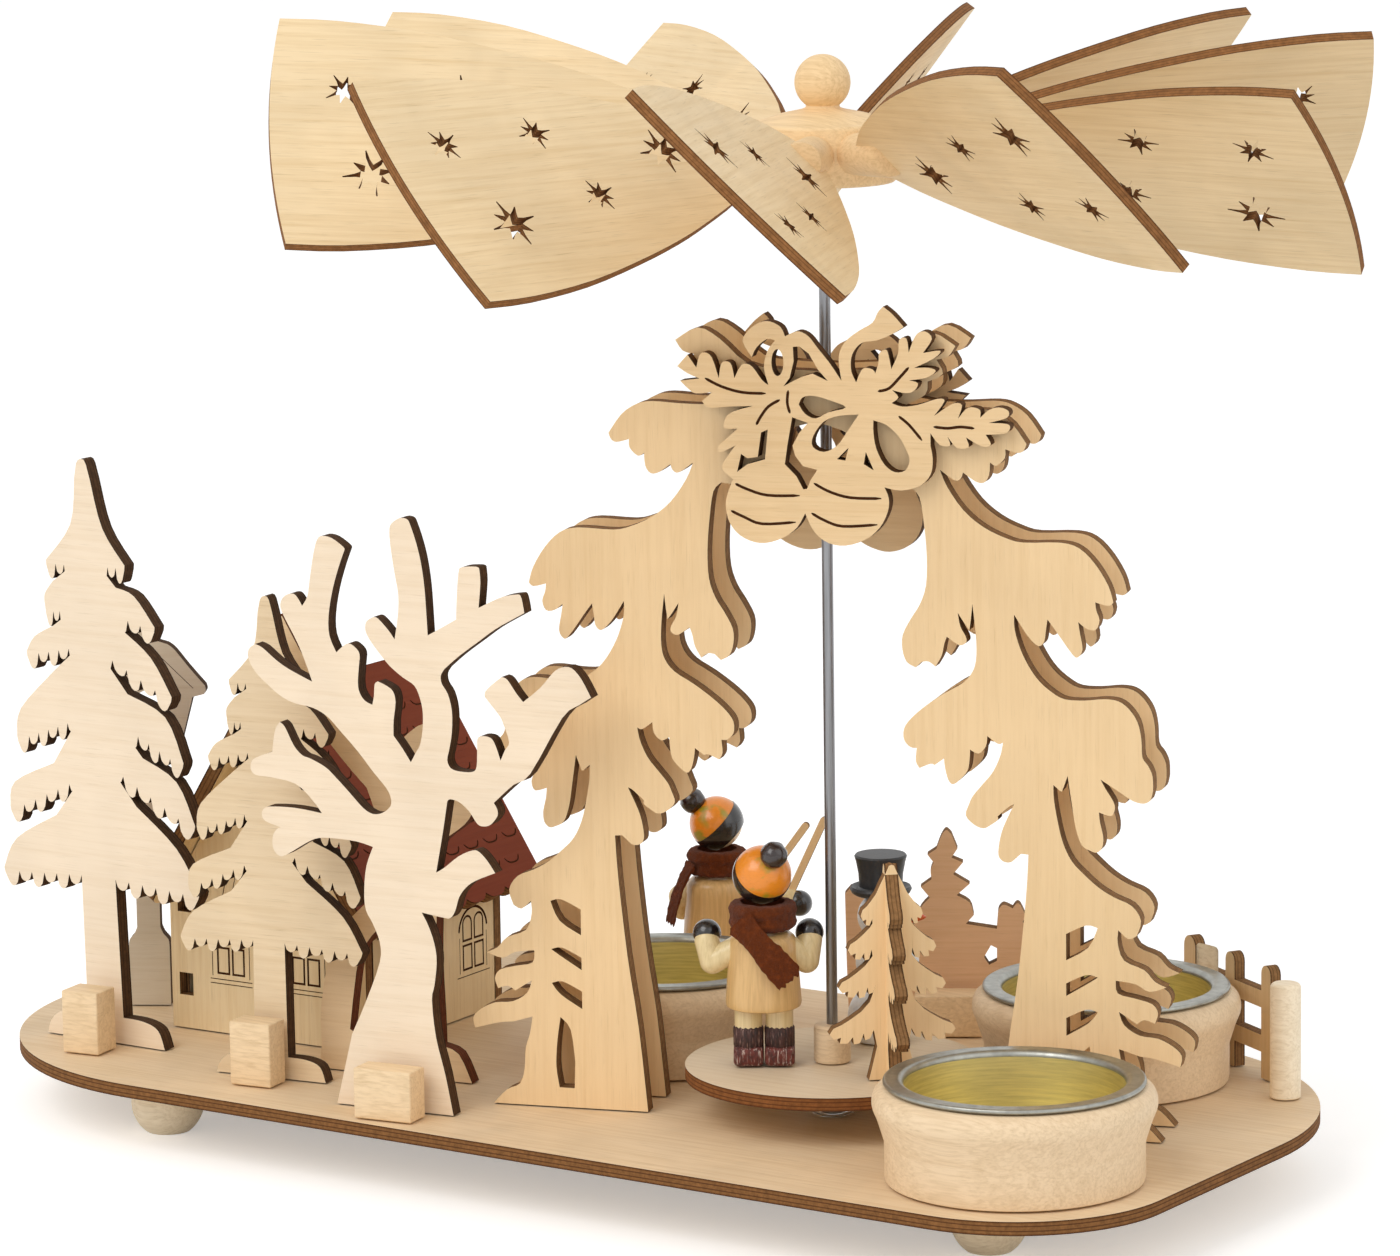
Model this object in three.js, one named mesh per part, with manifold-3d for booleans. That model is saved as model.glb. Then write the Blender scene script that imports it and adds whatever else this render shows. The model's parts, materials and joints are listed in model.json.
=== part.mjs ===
// Christmas pyramid: a candle-driven wing wheel turns a steel shaft and a small turntable
// between two spruce-shaped arch plates, on a plywood base with a winter village scene.
// Units are millimetres. The origin is on the table, under the middle of the whole model's box.
// +X runs along the base board to the right, +Y to the back and +Z up. Sizes and places below are
// measured from the shaft's axis and the base board's underside.

import * as THREE from "three";
import { mergeVertices } from "three/addons/utils/BufferGeometryUtils.js";
import Module from "manifold-3d";

const wasm = await Module();
wasm.setup();

// Driving dimensions, in millimetres and degrees.

// Glue line under each piece that stands on another one.
const SEAT = 0.3;

// Base board, measured from the shaft's axis.
const BOARD_THICKNESS = 2.6;
const BOARD_LEFT = 190;
const BOARD_RIGHT = 83.6;
const BOARD_FRONT = 51.8;
const BOARD_BACK = 84;
const BOARD_RADIUS = 60;
const BOARD_FRONT_RIGHT_RADIUS = 30;

// Turned ball feet with flattened ends.
const FOOT_DIAMETER = 14.5;
const FOOT_HEIGHT = 11.6;
const FEET = {
  foot_front_left: [-136.5, -32],
  foot_front_right: [48, -22],
  foot_back_right: [48, 58],
  foot_back_left: [-136.5, 64],
};

// Plywood thicknesses.
const PLY = 3;
const ARCH_PLY = 3.2;
const TURNTABLE_PLY = 2.5;

// The arch and the three candle cups stand on a frame that is turned on the base board.
const ARCH_TURN = 17.7;
const ARCH_GAP = 8.8;
const CUP_ALONG = 44.6;
const CUP_ACROSS = 38.4;

// Candle cups and their metal inserts.
const CUP_HEIGHT = 17.6;
const CUP_BODY_DIAMETER = 47.6;
const CUP_LIP_DIAMETER = 52.2;
const CUP_BORE = 42.6;
const CUP_FLOOR = 4;
const INSERT_WALL = 0.5;
const INSERT_OPENING = 40.4;
const INSERT_RIM_DIAMETER = 48;
const INSERT_DEPTH = 12.4;
const INSERT_CLEARANCE = 0.4;

// Shaft, its glass bearing and the turntable.
const SHAFT_DIAMETER = 2.1;
const SHAFT_CLEARANCE = 0.35;
const GLASS_DIAMETER = 11;
const GLASS_HEIGHT = 3.2;
const GLASS_FLOOR = 1;
const TURNTABLE_TOP = 10.2;
const TURNTABLE_RADIUS = 28;
const COLLAR_DIAMETER = 7;
const COLLAR_HEIGHT = 7.2;

// Wing wheel.
const HUB_BOTTOM = 177.5;
const HUB_DIAMETER = 27;
const HUB_CYLINDER = 11.3;
const HUB_CONE = 2.6;
const FINIAL_DIAMETER = 10.4;
const WING_COUNT = 10;
const WING_PHASE = -29.7;
// Pitch each wing is set to, and how far its peg stands above the horizontal.
const WING_PITCH = [45, 44, 45, 44, 53, 47, 55, 50, 46, 44];
const WING_RISE = [2.5, -1.5, 1.5, 2, 0, -1, 1, 3.5, 0, 1];
const WING_REACH = 103;
const WING_BOW = 2.4;
const WING_HALF_CHORD = 25;
const WING_ROOT = 18.6;
const PEG_DIAMETER = 7.8;
const PEG_END = 27;
const SPIGOT_DIAMETER = 4;
const SPIGOT_LENGTH = 4.2;
const STAR_LARGE = 5.4;
const STAR_SMALL = 3.9;

// Village pieces, standing on the base board: place of the trunk or corner and turn.
const FRONT_FIR = { x: -156.4, y: -27, turn: 0, scale: 1, lean: 0 };
const MIDDLE_FIR = { x: -109, y: -33.4, turn: 8, scale: 0.79, lean: 0.03 };
const BARE_TREE = { x: -72.5, y: -41, turn: 8.5 };
const REAR_TREE = { x: -88, y: -19.5, turn: 8.5 };
const BIRD_HOUSE = { x: -168.3, y: 2.2, turn: 30.6 };
const BACK_PANEL = { x: -12.5, y: 73.5, turn: 30.8 };
const FENCE = { x: 60.4, y: 62.8, turn: -31.5 };
const HOUSE = { x: -152.8, y: -9.6, turn: 2 };

// Stop blocks glued in front of the standing plates: width, depth and height.
const STOP_BLOCKS = [
  { name: "stop_block_front_fir", at: [-154.2, -34.4], turn: 8, size: [8.2, 7, 12.6] },
  { name: "stop_block_middle_fir", at: [-108.6, -38.2], turn: 8, size: [9, 6, 12.6] },
  { name: "stop_block_bare_tree", at: [-70.4, -46.4], turn: 8.5, size: [12.2, 6, 9.8] },
  { name: "stop_block_back_panel", at: [-14.4, 65.4], turn: 30.8, size: [13.8, 7.4, 8.4] },
];

// House.
const HOUSE_WIDTH = 48;
const HOUSE_DEPTH = 48;
const HOUSE_EAVES = 26.9;
const HOUSE_SLOPE = 57.5;
const HOUSE_PLY = 2.4;
const ROOF_FRONT = 5;
const ROOF_BACK = 9;
const ROOF_EAVES_DROP = 6;

// Fence.
const FENCE_PLY = 2.3;
const FENCE_HEIGHT = 22.6;
const PICKETS = [
  { left: -35, width: 4.6 },
  { left: -18.4, width: 3.6 },
  { left: -4.4, width: 3.6 },
];
const RAIL_HEIGHT = 3.4;
const RAIL_LEVELS = [5.2, 14];
const POST_DIAMETER = 5.9;
const POST_HEIGHT = 22.4;
const POSTS_ALONG = { left: -24, right: 10.6 };

// Colours from the photograph.
const PALE_BIRCH = 0xebdcc3;
const WARM_BIRCH = 0xe8c999;
const BOARD_BIRCH = 0xdcc6a6;
const TURNED_BEECH = 0xe3c6a0;

const radians = THREE.MathUtils.degToRad;
const BOARD_TOP = BOARD_THICKNESS;
const STAND = BOARD_TOP + SEAT;

// Materials.

function wood(color, roughness = 0.65) {
  return () => new THREE.MeshStandardMaterial({ color, roughness, metalness: 0 });
}

function metal(color, roughness) {
  return () => new THREE.MeshStandardMaterial({ color, roughness, metalness: 1 });
}

const FINISH = {
  board: wood(BOARD_BIRCH),
  pale: wood(PALE_BIRCH),
  warm: wood(WARM_BIRCH),
  turned: wood(TURNED_BEECH, 0.6),
  lacquered: wood(0xd9b27c, 0.3),
  roof: wood(0x7a3416, 0.6),
  wall: wood(0xd9c09a),
  orange: wood(0xe8861e, 0.3),
  white: wood(0xf2f2ef, 0.4),
  black: wood(0x2e2f31, 0.5),
  felt: wood(0x5a2716, 0.95),
  steel: metal(0x8c8d90, 0.35),
  brass: metal(0xb8b08a, 0.35),
  glass: wood(0xe6ecec, 0.05),
};

// Solids: welding, joining and cutting.

function weld(geometry) {
  const bare = geometry.clone();
  for (const name of Object.keys(bare.attributes)) {
    if (name !== "position") bare.deleteAttribute(name);
  }
  const merged = mergeVertices(bare, 1e-4);
  const index = merged.index.array;
  const kept = [];
  for (let i = 0; i < index.length; i += 3) {
    const [a, b, c] = [index[i], index[i + 1], index[i + 2]];
    if (a !== b && b !== c && a !== c) kept.push(a, b, c);
  }
  merged.setIndex(kept);
  return merged;
}

function toManifold(geometry) {
  const welded = weld(geometry);
  return new wasm.Manifold(
    new wasm.Mesh({
      numProp: 3,
      vertProperties: new Float32Array(welded.attributes.position.array),
      triVerts: new Uint32Array(welded.index.array),
    }),
  );
}

function fromManifold(solid) {
  const mesh = solid.getMesh();
  const geometry = new THREE.BufferGeometry();
  geometry.setAttribute("position", new THREE.BufferAttribute(mesh.vertProperties, 3));
  geometry.setIndex(new THREE.BufferAttribute(mesh.triVerts, 1));
  return geometry;
}

function join(...geometries) {
  return fromManifold(geometries.map(toManifold).reduce((sum, next) => sum.add(next)));
}

function cut(body, ...tools) {
  return fromManifold(tools.map(toManifold).reduce((left, tool) => left.subtract(tool), toManifold(body)));
}

// Outlines. A path is a list of points; one drawn by hand holds only the points its shape needs.

function smooth(points, steps = 3) {
  const curve = new THREE.SplineCurve(points.map(([x, y]) => new THREE.Vector2(x, y)));
  return curve.getPoints(steps * (points.length - 1)).map((p) => [p.x, p.y]);
}

function mirrored(points) {
  return points.map(([x, y]) => [-x, y]).reverse();
}

function outline(points, holes = []) {
  const toVectors = (list) => list.map(([x, y]) => new THREE.Vector2(x, y));
  const shape = new THREE.Shape(toVectors(points));
  shape.holes = holes.map((hole) => new THREE.Path(toVectors(hole)));
  return shape;
}

// An upright plate: the outline's y becomes height, and its front face lies at Y = 0.
function uprightPlate(shape, thickness) {
  const plate = new THREE.ExtrudeGeometry(shape, { depth: thickness, bevelEnabled: false, curveSegments: 6 });
  return plate.rotateX(Math.PI / 2).translate(0, thickness, 0);
}

// A plate that lies flat, with its underside at Z = 0.
function flatPlate(shape, thickness, curveSegments = 14) {
  return new THREE.ExtrudeGeometry(shape, { depth: thickness, bevelEnabled: false, curveSegments });
}

// A tapered strip with round ends between two points, as an outline.
function limb([x0, y0], [x1, y1], r0, r1, ends = 4) {
  const heading = Math.atan2(y1 - y0, x1 - x0);
  const arc = (x, y, r, from) =>
    Array.from({ length: ends + 1 }, (_, i) => {
      const angle = from + (Math.PI * i) / ends;
      return [x + r * Math.cos(angle), y + r * Math.sin(angle)];
    });
  return [...arc(x1, y1, r1, heading - Math.PI / 2), ...arc(x0, y0, r0, heading + Math.PI / 2)];
}

// A strip of even or tapered width along a smooth centre line, as an outline.
function ribbon(centre, width0, width1 = width0, steps = 3) {
  const curve = new THREE.SplineCurve(centre.map(([x, y]) => new THREE.Vector2(x, y)));
  const count = steps * (centre.length - 1);
  const left = [];
  const right = [];
  for (let i = 0; i <= count; i += 1) {
    const t = i / count;
    const p = curve.getPoint(t);
    const d = curve.getTangent(t);
    const half = THREE.MathUtils.lerp(width0, width1, t) / 2;
    left.push([p.x - d.y * half, p.y + d.x * half]);
    right.push([p.x + d.y * half, p.y - d.x * half]);
  }
  return [...left, ...right.reverse()];
}

function ellipse([x, y], rx, ry, turn = 0, count = 14) {
  const [c, s] = [Math.cos(radians(turn)), Math.sin(radians(turn))];
  return Array.from({ length: count }, (_, i) => {
    const a = (2 * Math.PI * i) / count;
    const [u, v] = [rx * Math.cos(a), ry * Math.sin(a)];
    return [x + u * c - v * s, y + u * s + v * c];
  });
}

// The ragged underside of a branch: teeth hang along the line from its tip back to its notch.
function teeth([x0, y0], [x1, y1], count, depth) {
  const points = [];
  for (let i = 0; i < count; i += 1) {
    const at = (t, drop) => [x0 + (x1 - x0) * t, y0 + (y1 - y0) * t - drop];
    points.push(at((i + 0.42) / count, depth));
    if (i < count - 1) points.push(at((i + 0.86) / count, -depth * 0.35));
  }
  return points;
}

// A turned piece: profile of [radius, height] pairs, from the axis round to the axis or closed.
function turned(profile, segments = 20) {
  return new THREE.LatheGeometry(profile.map(([r, z]) => new THREE.Vector2(r, z)), segments).rotateX(Math.PI / 2);
}

function cylinder(diameter, height, segments = 20) {
  return new THREE.CylinderGeometry(diameter / 2, diameter / 2, height, segments)
    .rotateX(Math.PI / 2)
    .translate(0, 0, height / 2);
}

function block(width, depth, height) {
  return new THREE.BoxGeometry(width, depth, height).translate(0, 0, height / 2);
}

function ball(diameter, x, y, z, across = 12, up = 8) {
  return new THREE.SphereGeometry(diameter / 2, across, up).rotateX(Math.PI / 2).translate(x, y, z);
}

// Scene graph helpers.

function piece(parent, name, geometry, finish, place = {}) {
  const mesh = new THREE.Mesh(weld(geometry), FINISH[finish]());
  mesh.name = name;
  mesh.position.set(place.x ?? 0, place.y ?? 0, place.z ?? 0);
  mesh.rotation.z = radians(place.turn ?? 0);
  parent.add(mesh);
  return mesh;
}

function frame(parent, turn = 0) {
  const group = new THREE.Group();
  group.rotation.z = radians(turn);
  parent.add(group);
  return group;
}

// Base board and feet.

function boardShape() {
  const shape = new THREE.Shape();
  const corner = (x, y, radius, from) => shape.absarc(x, y, radius, radians(from), radians(from + 90), false);
  const rf = BOARD_FRONT_RIGHT_RADIUS;
  const rb = BOARD_RADIUS;
  const rl = BOARD_RADIUS;
  shape.moveTo(-BOARD_LEFT + rl, -BOARD_FRONT);
  corner(BOARD_RIGHT - rf, -BOARD_FRONT + rf, rf, -90);
  corner(BOARD_RIGHT - rb, BOARD_BACK - rb, rb, 0);
  corner(-BOARD_LEFT + rl, BOARD_BACK - rl, rl, 90);
  corner(-BOARD_LEFT + rl, -BOARD_FRONT + rl, rl, 180);
  return shape;
}

function footGeometry() {
  const radius = FOOT_DIAMETER / 2;
  const half = FOOT_HEIGHT / 2;
  const flat = Math.acos(half / radius);
  const profile = [[0, -half]];
  const steps = 5;
  for (let i = 0; i <= steps; i += 1) {
    const angle = flat + ((Math.PI - 2 * flat) * i) / steps;
    profile.push([radius * Math.sin(angle), -radius * Math.cos(angle)]);
  }
  profile.push([0, half]);
  return turned(profile, 14).translate(0, 0, -half);
}

function addBase(root) {
  piece(root, "base_board", flatPlate(boardShape(), BOARD_THICKNESS, 10), "board");
  for (const [name, [x, y]] of Object.entries(FEET)) piece(root, name, footGeometry(), "turned", { x, y });
}

// Arch plates: two drooping spruces that grow together over the shaft.

// Right half of the plate's outline, from the middle of its top to its outer foot and back
// along the inside of the trunk.
function archHalf() {
  const crown = smooth([[0, 143], [7, 143.2], [13, 144.4], [18.2, 148.6], [22.4, 150.6], [26.8, 148]], 1);
  const crownUnder = [[25.2, 146.2], [23.2, 145.7], [24.4, 143.2], [21.4, 141.6], [21, 139.2], [17, 137.6]];
  const tier0 = smooth([[17, 136], [23.3, 134.9], [29.7, 135.8], [35.6, 134.4], [40.3, 129.2]], 1);
  const tier1 = smooth([[23.5, 124.8], [28.2, 118.2], [38.8, 111.9], [46.7, 112], [53.4, 108.4], [56.2, 101.8]], 1);
  const tier2 = smooth([[37.8, 98.9], [40.4, 89.6], [46.4, 83.8], [56, 83.8], [61.4, 78.6], [63.8, 67.6]], 1);
  const tier3 = smooth([[47.7, 68.9], [46.1, 60.3], [51.8, 49.6], [58.6, 45.2], [61.6, 42.2]], 1);
  const outer = [
    ...crown, ...crownUnder,
    ...tier0, [37.6, 127], [35, 126.4], [34, 124.4], [31.7, 123], [29.6, 125], [27, 123.6], [25.2, 125.6],
    ...tier1, [55.4, 98], [53.4, 96.8], [51.8, 98.2], [51.4, 93.4], [49.8, 91.4], [47.4, 95.8], [44.8, 93.4], [42.6, 93.2],
    [41.4, 95.8], [39.4, 95.2],
    ...tier2, [62.2, 64.8], [59.6, 66.2], [57.4, 63.6], [55.4, 64], [54.8, 57.4], [53, 55], [51, 56.8], [49, 64.8],
    ...tier3, [60.8, 39.6], [59.2, 38.8], [57.2, 40.4],
  ];
  const littleFir = [
    ...smooth([[57.4, 37], [59.4, 34], [63.4, 31.6], [66.3, 29.2]], 1), [63, 28.6], [60.4, 29.9], [57.2, 30.6],
    ...smooth([[57.2, 28.2], [60.6, 27], [64, 25.8], [64.2, 22.8]], 1), [61.8, 23.2], [60.4, 22.2], [57.4, 24.2],
    ...smooth([[57.8, 22.4], [61.4, 20.2], [66.4, 19.2], [69.2, 16.8], [68.6, 14.6]], 1),
    [65, 14], [62.6, 15.6], [60.8, 15.4], [58.6, 17.4],
  ];
  const foot = smooth([[58.6, 11], [59.2, 6], [61.6, 4.2], [64.8, 2.6], [65.6, 0]], 1);
  const trunk = [[34.4, 0], [36.2, 16.2], [39, 38]];
  const inner2 = [
    ...smooth([[40.2, 53.4], [37.4, 51.8], [35, 52.6], [35.9, 57.6], [37.6, 63.2]], 1),
    [34.4, 60.6], [31.8, 58.2], [28.6, 60.4],
    ...smooth([[29.8, 63.2], [34.6, 70.2], [35.9, 76.5]], 1),
  ];
  const inner1 = [
    ...smooth([[31.6, 75.2], [28.8, 71.2], [25.4, 66.6]], 1), [22.4, 68.6], [19.2, 68.2], [16.4, 72.2],
    ...smooth([[16.2, 75.2], [21.2, 80.8], [27.6, 85.4], [30.4, 92.6]], 1),
  ];
  const inner0 = [
    [29.8, 100.4], [28.6, 96], [27.6, 93], [24.6, 90.8], [22, 88.2], [18.6, 87.8],
    ...smooth([[16.4, 90], [17.2, 96.4], [20.6, 105], [20.4, 113], [18.4, 121.6]], 1),
  ];
  const crotch = smooth([[12, 121], [9, 125.4], [6.4, 131.6], [0, 133.6]], 1);
  return [...outer, ...littleFir, ...foot, ...trunk, ...inner2, ...inner1, ...inner0, ...crotch];
}

// Gaps between the little fir at the foot and the spruce's trunk, right side.
function footGaps() {
  const leaf = (low, high) => smooth([[47.2, low], [51.4, low + 2.6], [53.2, high - 0.6], [51, high - 0.2], [47.2, high - 2]], 1);
  const slot = [[49, 3.8], [52, 3.8], [52.4, 12.4], [51.6, 17.6], [49.6, 15.2]];
  return [leaf(33.8, 41), leaf(27, 31.6), leaf(19.4, 25.2), slot];
}

function archPlate() {
  const right = archHalf();
  const points = [...right, ...mirrored(right).slice(1, -1)];
  const gaps = footGaps();
  return uprightPlate(outline(points, [...gaps, ...gaps.map(mirrored)]), ARCH_PLY);
}

// Ornament: two baubles under a bow with fir twigs, laser-cut in one plate.

function twig(base, tip, stem, needles) {
  const parts = [limb(base, tip, stem, stem * 0.55, 2)];
  const [dx, dy] = [tip[0] - base[0], tip[1] - base[1]];
  const reach = Math.hypot(dx, dy);
  for (const [t, side, length] of needles) {
    const from = [base[0] + dx * t, base[1] + dy * t];
    const lean = Math.atan2(dy, dx) + side * radians(52);
    const to = [from[0] + length * reach * Math.cos(lean), from[1] + length * reach * Math.sin(lean)];
    parts.push(limb(from, to, 1.15, 0.85, 1));
  }
  return parts;
}

function needlePairs(count, length) {
  const pairs = [];
  for (let i = 0; i < count; i += 1) {
    const t = 0.28 + (0.66 * i) / count;
    const reach = length * (1 - 0.32 * (i / count));
    pairs.push([t, 1, reach], [t + 0.06, -1, reach]);
  }
  return pairs;
}

function ornamentPlate() {
  const bauble = { left: [-9, 118.4], right: [6.6, 118.2], radius: 7.9 };
  const knot = [11.2, 135.6];
  const loops = [
    { centre: [4.2, 136], rx: 7.6, ry: 3.9, turn: -4, hole: [3.2, 135.8, 4.2, 1.5] },
    { centre: [4.2, 130], rx: 8.6, ry: 4.8, turn: 36, hole: [4.6, 130.2, 5, 1.7] },
    { centre: [15.4, 127.4], rx: 8.8, ry: 5.4, turn: -58, hole: [14, 128, 5, 2.3] },
  ];
  const solids = [
    ellipse(bauble.left, bauble.radius, bauble.radius, 0, 18),
    ellipse(bauble.right, bauble.radius, bauble.radius, 0, 18),
    ribbon([[-7.4, 124.6], [-5.8, 138]], 4.2, 4.2, 1),
    ribbon([[6, 124], [11, 135]], 5.4, 5.4, 1),
    ellipse(knot, 3.2, 3, 0, 8),
    ribbon([[9.8, 136.6], [4.6, 142.6], [-0.6, 147.2], [-4.6, 145.6], [-3.6, 140.4], [-5.8, 137.4]], 2.6, 2.6, 1),
    ribbon([[9, 137], [7, 141.6], [8.2, 145.4], [12.4, 147.4], [15.4, 150]], 2.6, 4.4, 1),
    ...loops.map((loop) => ellipse(loop.centre, loop.rx, loop.ry, loop.turn, 10)),
    ...twig([-5.4, 137.6], [-23.6, 142.6], 2.7, needlePairs(2, 0.26)),
    ...twig([-6, 136.4], [-15.6, 127], 2.6, needlePairs(2, 0.32)),
    ...twig([11.6, 136.6], [22, 146.4], 2.2, needlePairs(2, 0.32)),
    ...twig([12, 134.4], [35, 131.6], 2.4, needlePairs(3, 0.22)),
  ];
  const ring = ellipse([-5.9, 142.8], 2.7, 4, 0, 10);
  const ringHole = ellipse([-5.9, 142.8], 1.1, 2.3, 0, 8);
  const extrude = (points) => uprightPlate(outline(points), PLY);
  const overcut = (points) => uprightPlate(outline(points), PLY + 2).translate(0, -1, 0);
  const holes = loops.map(({ hole: [x, y, rx, ry], turn }) => ellipse([x, y], rx, ry, turn, 6));
  const body = join(...solids.map(extrude), extrude(ring));
  return cut(body, ...holes.map(overcut), overcut(ringHole));
}

function addArch(root) {
  const arch = frame(root, ARCH_TURN);
  const face = ARCH_GAP / 2 + ARCH_PLY;
  const plate = archPlate();
  piece(arch, "arch_front", plate, "warm", { y: -face, z: STAND });
  piece(arch, "arch_back", plate, "warm", { y: face, z: STAND, turn: 180 });
  const ornament = ornamentPlate();
  const backDrop = 4;
  piece(arch, "ornament_front", ornament, "warm", { y: -face - SEAT - PLY, z: STAND });
  piece(arch, "ornament_back", ornament, "warm", {
    y: face + SEAT + PLY,
    z: STAND - backDrop,
    turn: 180,
  });
  const bearing = cut(
    block(14, ARCH_GAP - 2 * SEAT, 8),
    cylinder(SHAFT_DIAMETER + 2 * SHAFT_CLEARANCE, 12, 12).translate(0, 0, -2),
  );
  piece(arch, "shaft_guide_block", bearing, "turned", { z: STAND + 133.8 });
  return arch;
}

// Candle cups.

function cupGeometry() {
  const body = CUP_BODY_DIAMETER / 2;
  const lip = CUP_LIP_DIAMETER / 2;
  const bore = CUP_BORE / 2;
  const top = CUP_HEIGHT;
  const shoulder = [[body, top * 0.45], [lip - 1, top * 0.66], [lip, top * 0.8], [lip - 0.6, top * 0.92], [lip - 2, top]];
  return turned([[0, 0], [body, 0], ...shoulder, [bore, top], [bore, CUP_FLOOR], [0, CUP_FLOOR]], 24);
}

function insertGeometry() {
  const inner = INSERT_OPENING / 2;
  const outer = inner + INSERT_WALL;
  const rim = INSERT_RIM_DIAMETER / 2;
  const low = -INSERT_DEPTH;
  return turned([
    [0, low], [outer, low], [outer, 0], [rim, 0], [rim, 0.5], [rim - 0.6, 1],
    [inner + 1, 1], [inner, 0.3], [inner, low + INSERT_WALL], [0, low + INSERT_WALL],
  ], 24);
}

function addCups(arch) {
  const cups = [
    ["front", CUP_ALONG, -CUP_ACROSS],
    ["back_right", CUP_ALONG, CUP_ACROSS],
    ["back_left", -CUP_ALONG, CUP_ACROSS],
  ];
  const cup = cupGeometry();
  const insert = insertGeometry();
  for (const [side, x, y] of cups) {
    piece(arch, `candle_cup_${side}`, cup, "turned", { x, y, z: STAND });
    piece(arch, `candle_insert_${side}`, insert, "brass", { x, y, z: STAND + CUP_HEIGHT + SEAT });
  }
}

// Wing wheel, shaft and turntable.

// Turns a geometry that lies along +X to the place of wing number i around the hub.
function toWing(geometry, i) {
  return geometry.rotateY(-radians(WING_RISE[i])).rotateZ(radians(WING_PHASE + (360 / WING_COUNT) * i));
}

function hubGeometry() {
  const r = HUB_DIAMETER / 2;
  const ballRadius = FINIAL_DIAMETER / 2;
  const ballCentre = HUB_CYLINDER + HUB_CONE + ballRadius * 0.88;
  const neck = ballRadius * 0.6;
  const profile = [[0, 0], [r, 0], [r, HUB_CYLINDER - 0.8], [r - 0.9, HUB_CYLINDER], [neck, HUB_CYLINDER + HUB_CONE]];
  const from = Math.asin(neck / ballRadius);
  const steps = 6;
  for (let i = 1; i <= steps; i += 1) {
    const angle = from + ((Math.PI - from) * i) / steps;
    const radius = i === steps ? 0 : ballRadius * Math.sin(angle);
    profile.push([radius, ballCentre - ballRadius * Math.cos(angle)]);
  }
  const socket = cylinder(SPIGOT_DIAMETER + 2.2 * SEAT, SPIGOT_LENGTH + 4, 8).rotateY(Math.PI / 2);
  const holes = WING_PITCH.map((_, i) =>
    toWing(socket.clone().translate(r - SPIGOT_LENGTH - SEAT, 0, 0), i).translate(0, 0, HUB_CYLINDER / 2),
  );
  const bore = cylinder(SHAFT_DIAMETER + 2 * SHAFT_CLEARANCE, HUB_CYLINDER + 1, 10).translate(0, 0, -1);
  return cut(turned(profile, 20), bore, ...holes);
}

// A pointed star, as pierced in the wings: the large ones have eight rays, the small ones six.
function star([x, y], size, turn) {
  const points = [];
  const rays = size === STAR_LARGE ? 8 : 6;
  for (let i = 0; i < rays * 2; i += 1) {
    const angle = radians(turn) + (Math.PI * i) / rays;
    const reach = i % 2 ? size * 0.34 : size * (i % 4 ? 0.8 : 1);
    points.push([x + reach * Math.cos(angle), y + reach * Math.sin(angle)]);
  }
  return points;
}

// A wing along +X, lying flat: a tapered blade in the slot of a round peg.
function wingGeometry(flipped) {
  const side = flipped ? -1 : 1;
  const corner = WING_REACH - WING_BOW;
  const at = (along, across) => [WING_ROOT + along * (corner - WING_ROOT), across * WING_HALF_CHORD];
  const edge = [at(0, 0.13), at(0.115, 0.344), at(0.244, 0.52), at(0.359, 0.656), at(0.505, 0.792), at(0.688, 0.928),
    at(0.871, 1.004)];
  const bow = (across) => [WING_REACH - WING_BOW / 2, across * WING_HALF_CHORD];
  const tip = smooth([at(1, 1), bow(0.52), [WING_REACH, 0], bow(-0.52), at(1, -1)], 1);
  const lower = edge.map(([x, y]) => [x, -y]).reverse();
  const stars = [
    star(at(0.804, -0.36 * side), STAR_LARGE, 10),
    star(at(0.859, 0.376 * side), STAR_SMALL, 30),
    star(at(0.59, 0.4 * side), STAR_SMALL, 5),
    star(at(0.517, -0.2 * side), STAR_SMALL, 20),
    star(at(0.261, 0.128 * side), STAR_LARGE, 0),
  ];
  const blade = flatPlate(outline([...edge, ...tip, ...lower], stars), PLY).translate(0, 0, -PLY / 2);
  const shoulder = HUB_DIAMETER / 2 + SEAT;
  const peg = cylinder(PEG_DIAMETER, PEG_END - shoulder, 10).rotateY(Math.PI / 2).translate(shoulder, 0, 0);
  const spigot = cylinder(SPIGOT_DIAMETER, SPIGOT_LENGTH + 1, 6).rotateY(Math.PI / 2).translate(shoulder - SPIGOT_LENGTH, 0, 0);
  return join(blade, peg, spigot);
}

function addWings(wheel) {
  for (let i = 0; i < WING_COUNT; i += 1) {
    const arm = frame(wheel, WING_PHASE + (360 / WING_COUNT) * i);
    arm.position.z = BOARD_TOP + HUB_BOTTOM + HUB_CYLINDER / 2;
    const peg = new THREE.Group();
    peg.rotation.y = -radians(WING_RISE[i]);
    arm.add(peg);
    const wing = piece(peg, `wing_${String(i + 1).padStart(2, "0")}`, wingGeometry(i === 0 || i === 9), "pale");
    wing.rotation.x = -radians(WING_PITCH[i]);
  }
}

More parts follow.
